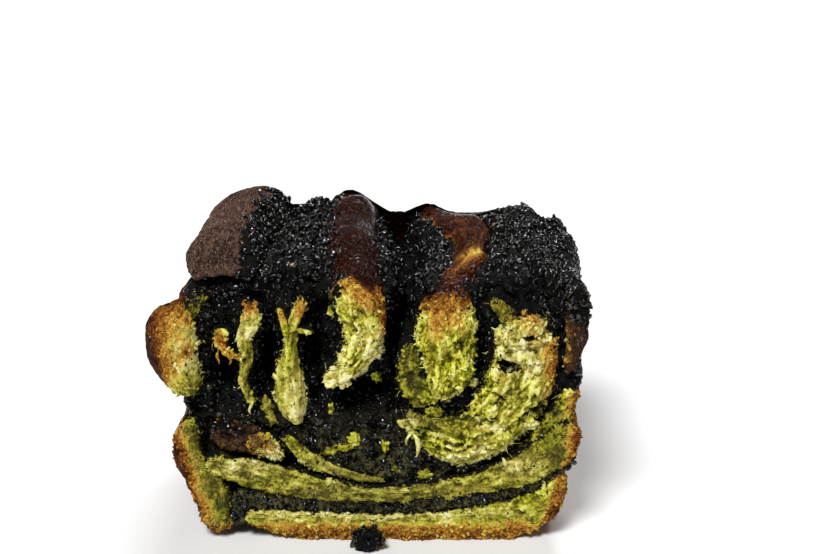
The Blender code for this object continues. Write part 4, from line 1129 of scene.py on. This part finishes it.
class Nodes:
    """Short calls for building one material's node tree."""

    def __init__(self, name):
        self.material = bpy.data.materials.new(name)
        self.material.use_nodes = True
        self.tree = self.material.node_tree
        self.place = self.put("TexCoord", "Object")

    def join(self, node, inputs):
        """Links or sets inputs of a node, by name or by number."""
        for key, value in inputs.items():
            if isinstance(value, Value):
                self.tree.links.new(value.socket, node.inputs[key])
            else:
                node.inputs[key].default_value = value

    def put(self, kind, output=0, inputs=None, **settings):
        """The output of a new node with those settings and inputs."""
        node = self.tree.nodes.new("ShaderNode" + kind)
        for key, value in settings.items():
            setattr(node, key, value)
        self.join(node, inputs or {})
        return Value(self, node.outputs[output])

    def mask(self, name):
        """A mask of the mesh, 0 to 1."""
        return self.put("Attribute", "Fac", attribute_name=name)

    def noise(self, size, detail=4, roughness=0.6, distortion=0, stretch=(1, 1, 1)):
        """Smooth noise with features about size millimetres wide, 0 to 1."""
        scale = tuple(1000 / size / amount for amount in stretch)
        place = self.put("Mapping", 0, {"Vector": self.place, "Scale": scale})
        inputs = {"Vector": place, "Scale": 1, "Detail": detail, "Roughness": roughness, "Distortion": distortion}
        return self.put("TexNoise", "Fac", inputs)

    def cells(self, size, output="Distance"):
        """Cell noise with cells about size millimetres wide."""
        return self.put("TexVoronoi", output, {"Vector": self.place, "Scale": 1000 / size}, feature="F1")

    def tints(self, size):
        """A random number for each cell, 0 to 1."""
        return self.put("SeparateColor", 0, {0: self.cells(size, "Color")})

    def math(self, operation, first, second=0):
        """A Math node."""
        return self.put("Math", 0, {0: first, 1: second}, operation=operation)

    def ramp(self, value, low, high, first=0, last=1):
        """value from low..high to first..last, smoothly and within them."""
        inputs = {"Value": value, "From Min": low, "From Max": high, "To Min": first, "To Max": last}
        return self.put("MapRange", "Result", inputs, interpolation_type="SMOOTHSTEP")

    def colours(self, value, tones):
        """A colour ramp through tones of (position, red, green, blue) in display levels."""
        ramp = self.put("ValToRGB", "Color", {0: value})
        elements = ramp.socket.node.color_ramp.elements
        while len(elements) < len(tones):
            elements.new(0.5)
        for element, (position, *levels) in zip(elements, tones):
            element.position, element.color = position, srgb(*levels)
        return ramp

    def mix(self, share, first, second):
        """Two colours mixed."""
        return self.put("Mix", 2, {0: share, 6: first, 7: second}, data_type="RGBA", blend_type="MIX")

    def bump(self, height, strength, distance):
        """A bump of distance millimetres at full height."""
        return self.put("Bump", "Normal", {"Height": height, "Strength": strength, "Distance": distance * MM})

    def finish(self, colour, roughness, normal, gloss):
        """The material with these for its shader's inputs."""
        inputs = {"Base Color": colour, "Roughness": roughness, "Normal": normal, "Specular IOR Level": gloss}
        self.join(self.tree.nodes["Principled BSDF"], inputs)
        return self.material


def dough_material(name, tones=CRUST_TONES, wrinkles=0):
    """Torn green crumb that browns to crust, with glaze and smears of black filling where the masks say.

    wrinkles is how strongly the crust is creased like skin.
    """
    n = Nodes(name)
    browning, glaze, filling = n.mask("browning"), n.mask("glaze"), n.mask("filling")
    pale, dull, height = n.mask("pale"), n.mask("dull"), n.mask("height")
    coarse = n.ramp(n.noise(5, 5, 0.6, 0.5), 0.28, 0.72)
    fine, tiny = n.noise(0.75, 4, 0.7), n.noise(0.32, 2, 0.6)

    # height is the relief's painted light and shade; coarse and fine add random tone, pale and dull the crumb's own
    # pale and dull spots.
    lightness = 0.8 * height + 0.36 * coarse + (fine - 0.5) + 0.16 * pale - 0.26 * dull
    lime = n.ramp(n.noise(4.6, 3, 0.6, 0.8), 0.46, 0.62, 0, 0.75)
    crumb = n.mix(lime, n.colours(lightness, CRUMB_TONES), n.colours(lightness, LIME_TONES))
    crumb = n.mix(0.45 * dull, crumb, srgb(92, 86, 40))
    crumb = n.mix(0.62 * pale, crumb, n.colours(lightness, BLEACHED_TONES))

    matte = n.ramp(glaze, 0.2, 0.6, 1, 0.25) * n.ramp(browning, 0.04, 0.3)
    grainy = (0.5 if wrinkles else 1.1) * (fine - 0.5) + 0.4 * (tiny - 0.5)
    # The crust is painted darker in the relief's holes and lighter on its flakes: painted shade and highlight.
    crusty = browning + grainy * matte + 0.16 * (coarse - 0.5) - 0.25 * (height - 0.5)
    if wrinkles:
        creases = n.ramp(abs(n.noise(0.7, 4, 0.65, 1, (1, 5, 1.6)) - 0.5), 0, 0.12)
        crusty = crusty + 0.3 * (creases - 0.6)
    colour = n.mix(n.ramp(crusty, 0.08, 0.33), crumb, n.colours(crusty, tones))

    specks = n.ramp(n.cells(1.7), 0.24, 0.15) * n.ramp(n.tints(1.7), 0.70, 0.74)
    smear = n.ramp(filling + 1.3 * (n.noise(1.7, 5, 0.7) - 0.5), 0.42, 0.56) * n.ramp(filling, 0.02, 0.12)
    colour = n.mix(n.math("MAXIMUM", specks, smear), colour, n.colours(tiny, BLACK_TONES))

    rough = n.ramp(fine, 0.3, 0.7, 0.66, 0.9) * n.ramp(glaze, 0, 1, 1, 0.1)
    lumps = (fine + 0.5 * tiny + 0.6 * n.ramp(n.cells(0.9), 0.05, 0.42)) * n.ramp(glaze, 0.2, 0.9, 1, 0.2)
    pebbles = n.ramp(n.cells(1.5), 0.7, 0.1) + n.ramp(n.noise(2.4, 3, 0.6, 0.8), 0.3, 0.7)
    lumps = lumps + 1.7 * (pebbles * glaze)
    if wrinkles:
        lumps = lumps + wrinkles * (creases * browning)
    return n.finish(colour, rough, n.bump(lumps, 1, 0.34), 0.1)


def filling_material(name, oily, gloss, own=0.45, grain_depth=0.35):
    """Ground black sesame. oily is its lowest roughness, own the share of its tint from the grain mask, and
    grain_depth the depth of its bump.
    """
    n = Nodes(name)
    sunk, fine = n.mask("sunk"), n.noise(0.5, 4, 0.7)
    colour = n.colours((1 - own) * n.tints(1.3) + own * n.mask("grain"), SESAME_TONES)
    dust = n.mask("dusty") * n.ramp(n.noise(1.6, 5, 0.7), 0.42, 0.6)
    colour = n.mix(dust, colour, srgb(112, 106, 66))
    # Painted shade: near black in the deep wells and in the groove between the lobes.
    colour = n.mix(0.8 * sunk, colour, srgb(1, 1, 1))
    normal = n.bump(n.ramp(n.cells(1), 0, 0.6) + fine, 0.8, grain_depth)
    rough = n.ramp(fine, 0.3, 0.7, oily, oily + 0.16) + 0.5 * sunk
    return n.finish(colour, rough, normal, gloss)


# Stage.


def add_floor():
    """A plain pale floor."""
    data = bpy.data.meshes.new("floor")
    low = CAD_LOW[2] - 0.0001
    corners = ((-1, -1), (1, -1), (1, 1), (-1, 1))
    data.from_pydata([(FLOOR_REACH * x, FLOOR_REACH * y, low) for x, y in corners], [], [(0, 1, 2, 3)])
    material = bpy.data.materials.new("floor_white")
    material.use_nodes = True
    shader = material.node_tree.nodes["Principled BSDF"]
    shader.inputs["Base Color"].default_value = (0.86, 0.86, 0.86, 1)
    shader.inputs["Roughness"].default_value = 0.9
    data.materials.append(material)
    floor = placed("floor", data)


def add_light(name, source, spread_angle, strength):
    """A soft light from a far source, wide as it shows from the loaf, so that it lights the floor evenly."""
    data = bpy.data.lights.new(name, "SUN")
    data.angle = math.radians(spread_angle)
    data.energy = strength
    light = placed(name, data)
    light.location = source
    light.rotation_euler = (-Vector(source)).to_track_quat("-Z", "Y").to_euler()


def add_camera():
    """The photograph's view: from the front, 18 degrees above the horizon."""
    data = bpy.data.cameras.new("camera")
    data.lens, data.sensor_width = 62.7, 36
    data.clip_start, data.clip_end = 0.01, 20
    camera = placed("camera", data)
    camera.location = (0.0140, -0.4454, 0.2153)
    camera.rotation_euler = (math.radians(90 - 18), 0, 0)
    bpy.context.scene.camera = camera


def add_world():
    """An even white surround."""
    world = bpy.data.worlds.new("surround")
    world.use_nodes = True
    background = world.node_tree.nodes["Background"]
    background.inputs["Color"].default_value = (1, 1, 1, 1)
    background.inputs["Strength"].default_value = 0.09
    bpy.context.scene.world = world
    bpy.context.scene.view_settings.view_transform = "Standard"


def main():
    add_camera()
    add_world()
    add_floor()
    add_light("key", (-0.16, -0.36, 0.56), spread_angle=20, strength=3.15)
    add_light("top", (0.16, 0.62, 0.78), spread_angle=18, strength=1.6)

    dough = dough_material("torn_dough")
    crust = dough_material("matte_crust", MATTE_TONES, wrinkles=1.8)
    paste = filling_material("sesame_paste", oily=0.3, gloss=0.08)
    matte = ("dough_left_shoulder", "dough_right_wall", "dough_seeded_lump")
    crumb = united([dress_strand(strand, crust if strand.name in matte else dough) for strand in STRANDS])
    crusts = united([crumb, dress_heel(dough)])
    filling = united([dress_upper_filling(paste), dress_lower_filling(paste), dress_clot(paste)])

    tree = BVHTree.FromPolygons(crumb.points.tolist(), crumb.faces)
    seed = filling_material("sesame_seed", oily=0.05, gloss=0.7, own=1, grain_depth=0.06)
    grain = filling_material("sesame_grain", oily=0.07, gloss=0.5, own=0.9, grain_depth=0.08)
    add_grains(filling, crumb, tree, grain)
    add_seeds(filling, crusts, tree, seed)
    add_flakes(crumb, tree, dough)
    add_toasted_crumbs(crumb, tree, dough)
    add_specks(crusts, tree, seed)
    add_shreds(crumb, tree, dough)
    face = united([crumb, filling])
    add_scraps(BVHTree.FromPolygons(face.points.tolist(), face.faces), dough)


main()
